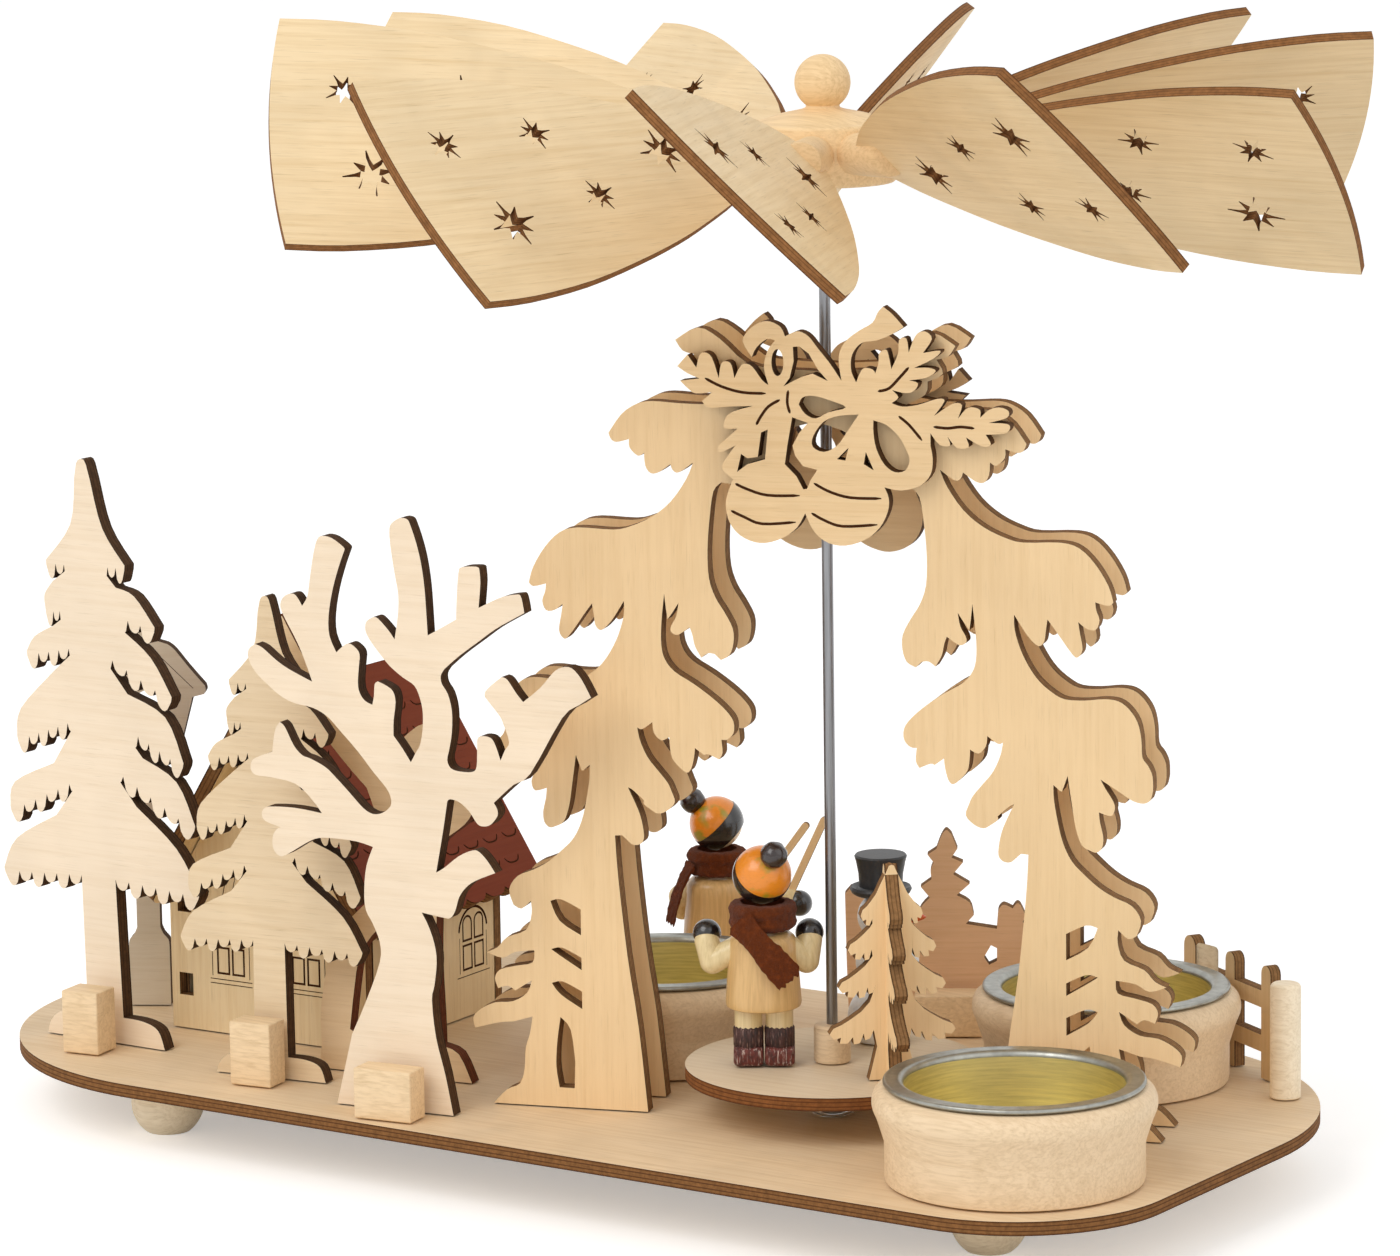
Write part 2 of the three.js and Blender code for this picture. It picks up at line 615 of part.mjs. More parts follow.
function addWheel(root) {
  const wheel = frame(root);
  const shaftTop = HUB_BOTTOM + HUB_CYLINDER - 1;
  const tip = 1.6;
  const shaftRadius = SHAFT_DIAMETER / 2;
  const shaftLength = shaftTop - GLASS_FLOOR - SEAT;
  const shaft = turned([[0, 0], [0.35, 0.2], [shaftRadius, tip], [shaftRadius, shaftLength], [0, shaftLength]], 12);
  piece(wheel, "shaft", shaft, "steel", { z: STAND + GLASS_FLOOR + SEAT });
  piece(wheel, "hub", hubGeometry(), "turned", { z: BOARD_TOP + HUB_BOTTOM });
  addWings(wheel);

  const bore = SHAFT_DIAMETER / 2 + SHAFT_CLEARANCE;
  const r = TURNTABLE_RADIUS;
  const table = turned([[bore, 0], [r, 0], [r, TURNTABLE_PLY], [bore, TURNTABLE_PLY], [bore, 0]], 40);
  piece(wheel, "turntable", table, "pale", { z: BOARD_TOP + TURNTABLE_TOP - TURNTABLE_PLY });
  const c = COLLAR_DIAMETER / 2;
  const collar = turned([[bore, 0], [c, 0], [c, COLLAR_HEIGHT - 0.6], [c - 0.6, COLLAR_HEIGHT],
    [bore, COLLAR_HEIGHT], [bore, 0]], 14);
  piece(wheel, "shaft_collar", collar, "turned", { z: BOARD_TOP + TURNTABLE_TOP + SEAT });
  return wheel;
}

function addGlassBearing(root) {
  const r = GLASS_DIAMETER / 2;
  const dish = turned([[0, 0], [r - 1.6, 0], [r, GLASS_HEIGHT - 0.3], [r - 0.5, GLASS_HEIGHT],
    [r - 2.4, GLASS_FLOOR + 0.5], [1.4, GLASS_FLOOR], [0, GLASS_FLOOR - 0.2]], 18);
  piece(root, "glass_bearing", dish, "glass", { z: STAND });
}

// Figures: children seen from behind, a snowman and a slotted fir.

// A round-ended bar between two points.
function capsule(from, to, radius, around = 8) {
  const a = new THREE.Vector3(...from);
  const b = new THREE.Vector3(...to);
  const axis = b.clone().sub(a);
  const geometry = new THREE.CapsuleGeometry(radius, axis.length(), 2, around);
  geometry.applyQuaternion(new THREE.Quaternion().setFromUnitVectors(new THREE.Vector3(0, 1, 0), axis.normalize()));
  const middle = a.add(b).multiplyScalar(0.5);
  return geometry.translate(middle.x, middle.y, middle.z);
}

// Boots, legs and coat of a standing child, with the arms as lists of joints.
function childBody(hem, collar, height, arms) {
  const coatFoot = 11.2 * height;
  const coatTop = 26 * height;
  const parts = [turned([[0, coatFoot], [hem - 0.4, coatFoot], [hem, coatFoot + 0.8], [hem - 0.3, coatFoot + 5],
    [collar, coatTop - 2.4], [collar - 1.6, coatTop - 0.4], [0, coatTop]], 16)];
  for (const side of [-1, 1]) {
    const x = side * 2.95 * height;
    parts.push(cylinder(5.3 * height, 5 * height, 10).translate(x, 0, 7 * height));
    parts.push(cylinder(5.7 * height, 4 * height, 12).translate(x, 0, 3.7 * height));
    parts.push(block(5.7 * height, 7.4 * height, 3.8 * height).translate(x, 0.6, 0));
  }
  for (const joints of arms) {
    for (let i = 1; i < joints.length; i += 1) parts.push(capsule(joints[i - 1], joints[i], 2.4, 7));
  }
  return join(...parts);
}

// Head with a pompom on the crown of the cap; the crown leans toward the given direction.
function capHead(radius, lean) {
  const pompom = radius * 0.43;
  const at = new THREE.Vector3(...lean).normalize().multiplyScalar(radius + pompom * 0.6);
  return join(ball(radius * 2, 0, 0, 0, 14, 10), ball(pompom * 2, at.x, at.y, at.z, 10, 8)).translate(0, 0, radius);
}

function scarf(radius, height, tailFrom, tailTo, width) {
  const band = turned([[radius - 2.4, 0], [radius - 0.3, 0.1], [radius, height * 0.5], [radius - 0.6, height],
    [radius - 2.4, height], [radius - 2.4, 0]], 16);
  const a = new THREE.Vector3(...tailFrom);
  const b = new THREE.Vector3(...tailTo);
  const length = a.distanceTo(b);
  const tail = new THREE.BoxGeometry(width, 1.3, length)
    .applyQuaternion(new THREE.Quaternion().setFromUnitVectors(new THREE.Vector3(0, 0, -1), b.clone().sub(a).normalize()))
    .translate((a.x + b.x) / 2, (a.y + b.y) / 2, (a.z + b.z) / 2);
  return join(band, tail);
}

const SNOWMAN_HEIGHT = 28.2;

function snowmanBody() {
  return join(
    turned([[0, 0], [5, 0], [6.6, 2.4], [6.4, 6.6], [3.6, 10.4], [4.9, 13.6], [4.6, 17.6], [2.8, 20.8],
      [4.4, 22.8], [4.5, 25.6], [2.8, 27.8], [0, SNOWMAN_HEIGHT]], 14),
    new THREE.ConeGeometry(1.6, 4.6, 8).rotateZ(-Math.PI / 2).translate(6, 0, 24),
    ball(5, 4, 4, 15, 8, 6),
    ball(5, 4, -4, 15, 8, 6),
  );
}

function topHat() {
  return turned([[0, 0], [5.8, 0], [6, 0.9], [5.8, 1.9], [4.2, 2.2], [5.1, 7.6], [0, 8]], 14);
}

// Half of the turntable fir's outline, from its foot up to its tip.
function slottedFirHalf() {
  const tiers = [[12, 10.6], [10.2, 19.4], [8.4, 26.6], [5.9, 33]];
  const points = [[3.4, 0], [2.6, 6.4]];
  for (const [reach, level] of tiers) {
    points.push([reach * 0.42, level - 2.6], [reach * 0.58, level - 4], [reach * 0.7, level - 2.8],
      [reach, level - 1.8], [reach * 0.9, level], [reach * 0.3, level + 4.2]);
  }
  points.push([0.9, 40], [0, 41]);
  return points;
}

function slottedFir() {
  const half = slottedFirHalf();
  const points = [...half, ...mirrored(half).slice(1)];
  const plate = uprightPlate(outline(points), TURNTABLE_PLY).translate(0, -TURNTABLE_PLY / 2, 0);
  return join(plate, plate.clone().rotateZ(Math.PI / 2));
}

function addFigures(wheel) {
  const level = BOARD_TOP + TURNTABLE_TOP + SEAT;
  const child = frame(wheel, 32.9);
  child.position.z = level;
  const at = { x: -12.9, y: -2 };
  const arms = [-1, 1].map((side) => [
    [side * 5, 0, 22.4],
    [side * (side < 0 ? 9.6 : 8.2), 0.6, 19.8],
    [side * (side < 0 ? 10.6 : 8.8), 1.8, 23.6],
  ]);
  const body = childBody(7.2, 6.5, 1, arms);
  piece(child, "child_body", body, "lacquered", at);
  const band = scarf(6.5, 5.2, [-3.8, -6.2, 3], [4.6, -8.6, -7.4], 3.8);
  piece(child, "child_scarf", band, "felt", { ...at, z: 26.4 });
  piece(child, "child_head", capHead(5.6, [2.3, -5, 3.2]), "orange", { ...at, z: 26.4 + 4.6 });
  piece(child, "snowman", snowmanBody(), "white", { x: 9.6, y: 16.4 });
  piece(child, "snowman_hat", topHat(), "black", { x: 9.6, y: 16.4, z: SNOWMAN_HEIGHT + SEAT });
  piece(child, "slotted_fir", slottedFir(), "warm", { x: 11.1, y: -13.6, turn: 10 });
}

// Standing plates of the village.

// One branch tier of the flat firs: notch, belly and tip on the right, and the same on the left.
const FIR_TIERS = [
  { right: [[0.6, 114], [3.4, 104.4], [8.8, 97.4]], left: [[-3.4, 114], [-4.8, 104.6], [-11.4, 97]], notch: [3.2, 95.9, -5.4, 95.6], teeth: 2 },
  { right: [[6.4, 92.8], [11, 91.4], [16, 85.6]], left: [[-9.8, 92.8], [-12, 90], [-11.9, 87.2]], notch: [4.4, 86.8, -6, 86.6], teeth: 3 },
  { right: [[8, 84.2], [14.8, 79.4], [19.8, 72]], left: [[-10, 83.8], [-15, 81.2], [-17.2, 78]], notch: [3, 78.6, -4.6, 79], teeth: 3 },
  { right: [[8.6, 71.6], [18, 67.8], [22.3, 59]], left: [[-10, 74.8], [-19.2, 66.2], [-20.4, 60.4]], notch: [8, 64, -5.8, 64], teeth: 4 },
  { right: [[12, 59], [20.4, 55], [24.8, 46.6]], left: [[-11, 55.8], [-21.4, 51], [-22.8, 45.8]], notch: [5, 55.6, -4.8, 52], teeth: 4 },
  { right: [[10, 49], [20, 41.4], [25.4, 33]], left: [[-10.8, 45.2], [-21.4, 39.4], [-25, 33]], notch: [4, 33.6, -4.7, 33.6], teeth: 4 },
];

function firSide(side, index) {
  const points = [];
  for (const tier of FIR_TIERS) {
    const arm = tier[side];
    const [nx, ny] = [tier.notch[index], tier.notch[index + 1]];
    points.push(...arm, ...teeth([arm[2][0] * 0.97, arm[2][1] - 1], [nx, ny], tier.teeth, 1.5));
    points.push([nx, ny]);
  }
  return points;
}

function flatFir({ scale, lean }) {
  const right = firSide("right", 0);
  const left = firSide("left", 2);
  const foot = [[5, 5.4], [10, 5.2], [13.8, 3.8], [15.4, 0]];
  const footLeft = [[-14.8, 0], [-13.8, 2.8], [-10.6, 5], [-4.2, 5.2]];
  const tip = [[-2.8, 117.2], [-1.5, 118], [-0.3, 117.2]];
  const points = [...tip, ...right, ...foot, ...footLeft, ...left.reverse()];
  return uprightPlate(outline(points.map(([x, y]) => [x * scale + y * lean, y * scale])), PLY);
}

// The bare tree is built of limbs: start, end, half widths.
const BARE_LIMBS = [
  [[2.2, 26], [1.6, 48], 6.2, 6.6],
  [[1.6, 46], [3, 62], 6.8, 7.4],
  [[3, 60], [8.4, 78], 6.2, 4],
  [[8.4, 78], [5.6, 92], 4, 4.2],
  [[5.6, 92], [3.2, 113], 3.8, 3],
  [[5.6, 88], [-0.4, 93.4], 2.4, 2.1],
  [[9, 90], [26.6, 98.4], 3.4, 2.4],
  [[16.8, 94], [18.4, 104.4], 2.3, 2],
  [[2, 62], [-10, 80], 5.8, 4.6],
  [[-10, 80], [-14.4, 95], 4.6, 2.9],
  [[-14.4, 94], [-12.4, 107], 2.9, 2.9],
  [[-10, 80], [-26.6, 86.2], 3.4, 2.4],
  [[-14, 92], [-18.8, 96.4], 1.9, 1.9],
  [[-9, 81], [-6.6, 87], 2.6, 2],
  [[-3.6, 74], [-1.6, 79.6], 2.2, 2],
  [[0, 60], [-16, 64.6], 4.8, 3.2],
  [[-14, 64.6], [-26.6, 63.8], 3, 2.4],
  [[-14, 65], [-22.6, 71.6], 2.6, 1.8],
  [[0, 55], [-24.6, 56], 3.6, 2.2],
  [[-12, 53.6], [-22.6, 50.6], 2.6, 2.2],
  [[6, 62], [27.4, 70.6], 4.8, 4.6],
  [[26.6, 70], [38.4, 83.8], 4.4, 3],
  [[29.6, 76], [24.6, 82.4], 2.6, 2.4],
  [[22, 67], [21.8, 73.6], 2.2, 1.8],
  [[18, 64], [19.6, 60.2], 2.6, 1.6],
  [[4, 44], [16, 49.4], 3.6, 2.6],
];

function bareTree() {
  const limbs = BARE_LIMBS.map(([from, to, r0, r1]) => uprightPlate(outline(limb(from, to, r0, r1, 2)), PLY));
  const butt = uprightPlate(outline([
    ...smooth([[-13.2, 0], [-9.6, 14], [-3.8, 26]], 2), [-4, 34], [8.2, 34],
    ...smooth([[8.4, 28], [6.8, 20], [10.4, 10], [12, 0]], 2),
  ]), PLY);
  return join(butt, ...limbs);
}

const REAR_LIMBS = [
  [[-8, 2.2], [12, 2.2], 2.2, 2.2],
  [[-14.4, 4], [-12, 24], 3.2, 3.2],
  [[-12, 24], [2, 40], 3.4, 4.4],
  [[5, 6], [4.4, 24], 4, 4],
  [[4.4, 24], [3, 42], 4.2, 5.6],
  [[3, 42], [-1, 60], 5.4, 4.6],
  [[-1, 58], [-15, 72], 4.4, 3.6],
  [[-15, 72], [-25, 88.6], 3.6, 2.2],
  [[-2, 58], [9, 68], 4, 2.8],
  [[2, 46], [15, 54], 3.4, 2.6],
];

function rearTree() {
  const limbs = REAR_LIMBS.map(([from, to, r0, r1]) => uprightPlate(outline(limb(from, to, r0, r1, 2)), PLY));
  const foot = uprightPlate(outline([[-18, 0], [-17, 6], [-10, 6], [-8, 4.4], [8, 4.4], [9, 7], [13, 5.6], [15.8, 0]]), PLY);
  return cut(join(foot, ...limbs), new THREE.BoxGeometry(60, 20, 10).translate(0, 0, -5));
}

// Bird house on a post with a bottle-shaped foot; its box leans a little past the post.
function birdHouse() {
  const post = [[4.2, 0], [4.2, 12.4], [2.4, 15.8], [2.4, 52.6]];
  const box = [[6.4, 55.4], [8.8, 64.4], [11.2, 65], [11.4, 66.8], [3.8, 75.6], [1.7, 76.4]].map(([x, z]) => [x + 1.6, z]);
  const boxLeft = [[-6.4, 55.4], [-8.8, 64.4], [-11.2, 65], [-11.4, 66.8], [-2.6, 75.8]].map(([x, z]) => [x + 1.6, z]);
  const points = [...post, ...box, ...boxLeft.reverse(), ...mirrored(post)];
  const hole = ellipse([1.6, 61.4], 3.6, 3.6, 0, 12);
  const knob = ellipse([2.4, 78.2], 2, 2.9, 0, 12);
  return join(uprightPlate(outline(points, [hole]), PLY), uprightPlate(outline(knob), PLY));
}

// Back panel: a fir, a flat-topped hedge on its left and a rail with a post and a little fir.
function backPanel() {
  const fir = [[-12.6, 0], [-12.6, 21], [-9.6, 26.4], [-11.2, 28.8], [-9.2, 30.4], [-8.8, 33.6], [-9.8, 35.4], [-8.2, 36.4],
    [-7.2, 39.4], [-6, 40.2], [-5.2, 39.4], [-4, 36.2], [-5.2, 34.4], [-2.9, 33.4], [-4.9, 31], [-1.6, 29],
    [-4.2, 26.8], [-0.8, 22.8], [-2.4, 21]];
  const right = [[3.8, 20], [4.2, 24], [5.6, 24.9], [7, 24.2], [8.4, 25], [9.6, 22.6], [9, 21.4], [10.4, 18], [9.8, 16.6],
    [12, 12], [12, 0]];
  const left = [[-26, 0], [-26.6, 27.6], [-22, 28.4], [-21.2, 20], [-15, 20.4]];
  const gap = [[2.6, 16.6], [1.2, 14.2], [2.2, 12.6], [3.8, 13.4], [3.8, 16]];
  const points = [...left, ...fir.slice(1), ...right];
  return uprightPlate(outline(points, [gap]), PLY);
}

// The left post is glued to the rails and hollowed where the lip of the back right cup passes.
function fencePlate() {
  const [first, , last] = PICKETS;
  const rail = (z) => [[first.left, z], [last.left + 1, z], [last.left + 1, z + RAIL_HEIGHT], [first.left, z + RAIL_HEIGHT]];
  const solids = RAIL_LEVELS.map(rail);
  for (const { left, width } of PICKETS) {
    const r = width / 2;
    const cap = Array.from({ length: 6 }, (_, k) => {
      const angle = (Math.PI * k) / 5;
      return [left + r + r * Math.cos(angle), FENCE_HEIGHT - r + r * Math.sin(angle)];
    });
    solids.push([[left, 0], [left + width, 0], ...cap]);
  }
  const plates = solids.map((points) => uprightPlate(outline(points), FENCE_PLY));
  const post = cylinder(POST_DIAMETER, POST_HEIGHT, 14).translate(POSTS_ALONG.left, -POST_DIAMETER / 2 + 0.4, 0);
  const cup = new THREE.Vector2(CUP_ALONG, CUP_ACROSS)
    .rotateAround(new THREE.Vector2(), radians(ARCH_TURN))
    .sub(new THREE.Vector2(FENCE.x, FENCE.y))
    .rotateAround(new THREE.Vector2(), -radians(FENCE.turn));
  const lip = cylinder(CUP_LIP_DIAMETER + 0.7, CUP_HEIGHT + 2.4, 48).translate(cup.x, cup.y, -0.8);
  return cut(join(...plates, post), lip);
}

function addVillage(root) {
  const stand = (name, geometry, finish, at) => piece(root, name, geometry, finish, { ...at, z: STAND });
  stand("fir_front", flatFir(FRONT_FIR), "pale", FRONT_FIR);
  stand("fir_middle", flatFir(MIDDLE_FIR), "pale", MIDDLE_FIR);
  stand("bare_tree_front", bareTree(), "pale", BARE_TREE);
  stand("bare_tree_rear", rearTree(), "warm", REAR_TREE);
  stand("bird_house", birdHouse(), "pale", BIRD_HOUSE);
  stand("back_panel", backPanel(), "warm", BACK_PANEL);
  stand("fence", fencePlate(), "warm", FENCE);
  for (const { name, at, turn, size } of STOP_BLOCKS) {
    stand(name, block(...size), "turned", { x: at[0], y: at[1], turn });
  }
  const turn = radians(FENCE.turn);
  const ahead = POST_DIAMETER / 2 + SEAT;
  stand("fence_post", cylinder(POST_DIAMETER, POST_HEIGHT, 16), "turned", {
    x: FENCE.x + POSTS_ALONG.right * Math.cos(turn) + ahead * Math.sin(turn),
    y: FENCE.y + POSTS_ALONG.right * Math.sin(turn) - ahead * Math.cos(turn),
  });
}

// House: two gable walls, two side walls and two roof slabs.

function gable(windows) {
  const rise = (HOUSE_WIDTH / 2) * Math.tan(radians(HOUSE_SLOPE));
  const points = [[0, 0], [HOUSE_WIDTH, 0], [HOUSE_WIDTH, HOUSE_EAVES], [HOUSE_WIDTH / 2, HOUSE_EAVES + rise], [0, HOUSE_EAVES]];
  return uprightPlate(outline(points, windows), HOUSE_PLY);
}

// The left roof slab, its underside through the ridge line at the origin, mitred at the ridge.
function roofSlab() {
  const length = HOUSE_DEPTH + ROOF_FRONT + ROOF_BACK;
  const reach = HOUSE_WIDTH / 2 / Math.cos(radians(HOUSE_SLOPE)) + ROOF_EAVES_DROP;
  const scallops = 9;
  const points = [[6, length], [-reach, length]];
  for (let i = scallops; i > 0; i -= 1) {
    const at = (t, drop) => [-reach - drop, (length * (i - t)) / scallops];
    points.push(at(0.25, 1.3), at(0.75, 1.3), at(1, 0));
  }
  points.push([6, 0]);
  const slab = flatPlate(outline(points), PLY).translate(0, -length / 2, 0).rotateY(-radians(HOUSE_SLOPE));
  const beyond = new THREE.BoxGeometry(30, length + 10, 40).translate(15 - SEAT / 2, 0, 0);
  return cut(slab, beyond);
}

function addHouse(root) {
  const house = new THREE.Group();
  house.position.set(HOUSE.x, HOUSE.y, STAND);
  house.rotation.z = radians(HOUSE.turn);
  root.add(house);
  const window = (x, z) => [[x, z], [x + 3.4, z], [x + 3.4, z + 4.6], [x, z + 4.6]];
  piece(house, "house_gable_front", gable([window(1.9, 6.8), window(1.9, 24)]), "wall");
  piece(house, "house_gable_back", gable([]), "wall", { y: HOUSE_DEPTH - HOUSE_PLY });
  const wall = block(HOUSE_PLY, HOUSE_DEPTH - 2 * HOUSE_PLY - 2 * SEAT, HOUSE_EAVES - 0.6);
  piece(house, "house_wall_left", wall, "wall", { x: HOUSE_PLY / 2, y: HOUSE_DEPTH / 2 });
  piece(house, "house_wall_right", wall, "wall", { x: HOUSE_WIDTH - HOUSE_PLY / 2, y: HOUSE_DEPTH / 2 });

  const slope = radians(HOUSE_SLOPE);
  const ridge = HOUSE_EAVES + (HOUSE_WIDTH / 2) * Math.tan(slope) + SEAT / Math.cos(slope);
  const place = { x: HOUSE_WIDTH / 2, y: HOUSE_DEPTH / 2 + (ROOF_BACK - ROOF_FRONT) / 2, z: ridge };
  piece(house, "house_roof_left", roofSlab(), "roof", place);
  piece(house, "house_roof_right", roofSlab(), "roof", { ...place, turn: 180 });
}

// The child behind the left cup stretches an arm out to a pair of skis.

const REAR_CHILD = { x: -71, y: 67, turn: 20, scale: 1 };

function skiArm() {
  const ski = (x, lean, low, high) =>
    new THREE.BoxGeometry(1.5, 1, high - low).translate(0, 0, (high + low) / 2).rotateY(radians(lean)).translate(x, 1.2, 0);
  return join(
    capsule([0, 0, 0], [6.6, 0, -1.4], 2.5),
    ball(5.4, 7.6, 0, -1.6, 10, 8),
    ski(-1.6, 36, -1, 18.5),
    ski(5.4, 25, -7, 18),
  );
}

function addRearChild(root) {
  const child = new THREE.Group();
  child.position.set(REAR_CHILD.x, REAR_CHILD.y, STAND);
  child.rotation.z = radians(REAR_CHILD.turn);
  root.add(child);
  const tall = REAR_CHILD.scale;
  const arm = [[[-5, 0, 22.6], [-8.4, 2, 20.6], [-8.6, 4.4, 17.6]]];
  piece(child, "rear_child_body", childBody(7.2, 6.5, tall, arm), "lacquered");
  const collar = 26 * tall + SEAT;
  piece(child, "rear_child_scarf", scarf(6.3, 5.2, [-4.4, -4.8, 3], [-8.4, -6.6, -8.6], 3.6), "felt", { z: collar });
  piece(child, "rear_child_head", capHead(5.6, [-4.6, -2, 5]), "orange", { z: collar + 4.8 });
  piece(child, "rear_child_ski_arm", skiArm(), "warm", { x: 9.6, y: 0, z: 22.2 });
}

// Assembly.

const pyramid = new THREE.Group();
addBase(pyramid);
const archFrame = addArch(pyramid);
addCups(archFrame);
addGlassBearing(pyramid);
const wheelFrame = addWheel(pyramid);
addFigures(wheelFrame);
addVillage(pyramid);
addHouse(pyramid);
addRearChild(pyramid);

const whole = new THREE.Box3().setFromObject(pyramid, true);
const middle = whole.getCenter(new THREE.Vector3());
pyramid.position.set(-middle.x, -middle.y, -whole.min.z);
const group = new THREE.Group();
group.add(pyramid);

export default group;
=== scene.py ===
"""Christmas pyramid of laser-cut plywood and turned wood, with a candle-driven wing wheel.

Every piece is modelled in millimetres, brought to metres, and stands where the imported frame
has its node: on the base board, on the turned arch frame, or on the turning wheel.
"""

import json
import logging
import math
from collections.abc import Sequence
from dataclasses import dataclass, field
from enum import Enum
from functools import cache
from typing import NamedTuple

import bmesh
import bpy
from bmesh.types import BMEdge, BMesh, BMFace, BMVert
from mathutils import Matrix, Vector, geometry, noise


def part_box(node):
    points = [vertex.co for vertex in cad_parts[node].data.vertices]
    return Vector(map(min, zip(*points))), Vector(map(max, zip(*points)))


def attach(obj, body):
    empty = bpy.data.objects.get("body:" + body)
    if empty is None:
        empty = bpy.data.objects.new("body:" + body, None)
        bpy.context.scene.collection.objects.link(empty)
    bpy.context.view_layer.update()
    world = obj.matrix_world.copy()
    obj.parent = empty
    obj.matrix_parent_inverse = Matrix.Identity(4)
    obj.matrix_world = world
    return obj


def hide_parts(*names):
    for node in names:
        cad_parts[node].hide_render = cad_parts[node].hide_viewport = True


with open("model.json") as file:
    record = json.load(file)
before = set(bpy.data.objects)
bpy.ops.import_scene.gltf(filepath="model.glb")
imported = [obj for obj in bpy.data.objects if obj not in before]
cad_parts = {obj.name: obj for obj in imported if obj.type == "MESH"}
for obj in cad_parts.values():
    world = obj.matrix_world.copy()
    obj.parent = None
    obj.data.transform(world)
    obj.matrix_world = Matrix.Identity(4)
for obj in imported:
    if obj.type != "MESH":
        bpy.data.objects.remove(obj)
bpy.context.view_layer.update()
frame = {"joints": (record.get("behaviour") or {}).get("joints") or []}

MM = 0.001
log = logging.getLogger("pyramid")

Point = tuple[float, float]
Point3 = tuple[float, float, float]
Line = list[Point]
Ring = tuple[Line, Line]
Colour = tuple[int, int, int]


# Outlines, drawn in millimetres as (across, up) points.

# Every second lobe of a fringe is shorter by this share, and its sine is flattened by this power.
SHORTER_LOBE = 0.35
LOBE_ROUNDNESS = 0.45

# How wide an engraved line's end is against its middle.
POINTED_END = 0.35


def smooth(points: Sequence[Point], steps: int = 4) -> Line:
    """Draws a smooth curve through points.

    Args:
        points: The points that the curve passes, ends included.
        steps: How many short edges replace each stretch.

    Returns:
        The points of the curve.
    """
    padded = [points[0], *points, points[-1]]
    curve = []
    for before, start, end, after in zip(padded, padded[1:], padded[2:], padded[3:]):
        for i in range(steps):
            t = i / steps
            weights = (
                (-t + 2 * t * t - t**3) / 2,
                (2 - 5 * t * t + 3 * t**3) / 2,
                (t + 4 * t * t - 3 * t**3) / 2,
                (-t * t + t**3) / 2,
            )
            corners = (before, start, end, after)
            curve.append(tuple(sum(w * p[k] for w, p in zip(weights, corners)) for k in (0, 1)))
    return [*curve, tuple(points[-1])]


def trace(start: Point, *runs: Sequence[Point], steps: int = 3) -> Line:
    """Draws smooth runs that meet at sharp corners.

    Args:
        start: Where the line starts.
        runs: Each run's points after the one that it starts from; a single one is a straight line.
        steps: How many short edges replace each stretch of a run.

    Returns:
        The points of the whole line, each corner once.
    """
    line = [start]
    for run in runs:
        line.extend(smooth([line[-1], *run], steps)[1:] if len(run) > 1 else run)
    return line


def fringe(start: Point, end: Point, count: int, depth: float, steps: int) -> Line:
    """Draws the hanging lobes under a branch, with a sharp notch between two of them.

    Args:
        start: Where the fringe begins, usually the branch's tip.
        end: Where it ends, usually the notch at the trunk.
        count: How many lobes hang there.
        depth: How far the longest lobe hangs down.
        steps: How many edges round a lobe.

    Returns:
        The points between start and end, neither of them included.
    """
    line = []
    for i in range(count):
        reach = depth * (1.0 - SHORTER_LOBE * (i % 2))
        for k in range(1, steps + 1):
            if i == count - 1 and k == steps:
                break
            part = k / steps
            t = (i + part) / count
            drop = reach * math.sin(math.pi * part) ** LOBE_ROUNDNESS
            line.append((start[0] + (end[0] - start[0]) * t, start[1] + (end[1] - start[1]) * t - drop))
    return line


def spaced(points: Sequence[Point], least: float = 0.02) -> Line:
    """Returns a closed line without the points that lie less than least from the next one."""
    return [p for p, q in zip(points, [*points[1:], points[0]]) if math.dist(p, q) > least]


def untangled(points: Sequence[Point], reach: int = 60) -> Line:
    """Cuts off the small loops where a closed line crosses itself.

    Args:
        points: The closed line.
        reach: How many edges such a loop may have at most.

    Returns:
        A line that never crosses itself, without points that coincide.
    """
    line = spaced(points)
    i = 0
    while i < len(line):
        count = len(line)
        for k in range(min(reach, count - 2), 1, -1):
            ends = (line[i], line[(i + 1) % count], line[(i + k) % count], line[(i + k + 1) % count])
            crossing = geometry.intersect_line_line_2d(*(Vector(p) for p in ends))
            if crossing is not None and i + k + 1 < count:
                line = [*line[:i + 1], tuple(crossing), *line[i + k + 1:]]
                break
        i += 1
    return spaced(line)


def mirrored(points: Sequence[Point]) -> Line:
    """Returns the points mirrored across the upright axis, in reverse order."""
    return [(-x, z) for x, z in reversed(points)]


def disc(centre: Point, rx: float, ry: float | None = None, count: int = 40) -> Line:
    """Draws an ellipse.

    Args:
        centre: Its centre.
        rx: Its radius across.
        ry: Its radius upwards, the same as across if left out.
        count: How many points it has.

    Returns:
        The points of the ellipse.
    """
    ry = rx if ry is None else ry
    angles = (2 * math.pi * i / count for i in range(count))
    return [(centre[0] + rx * math.cos(a), centre[1] + ry * math.sin(a)) for a in angles]


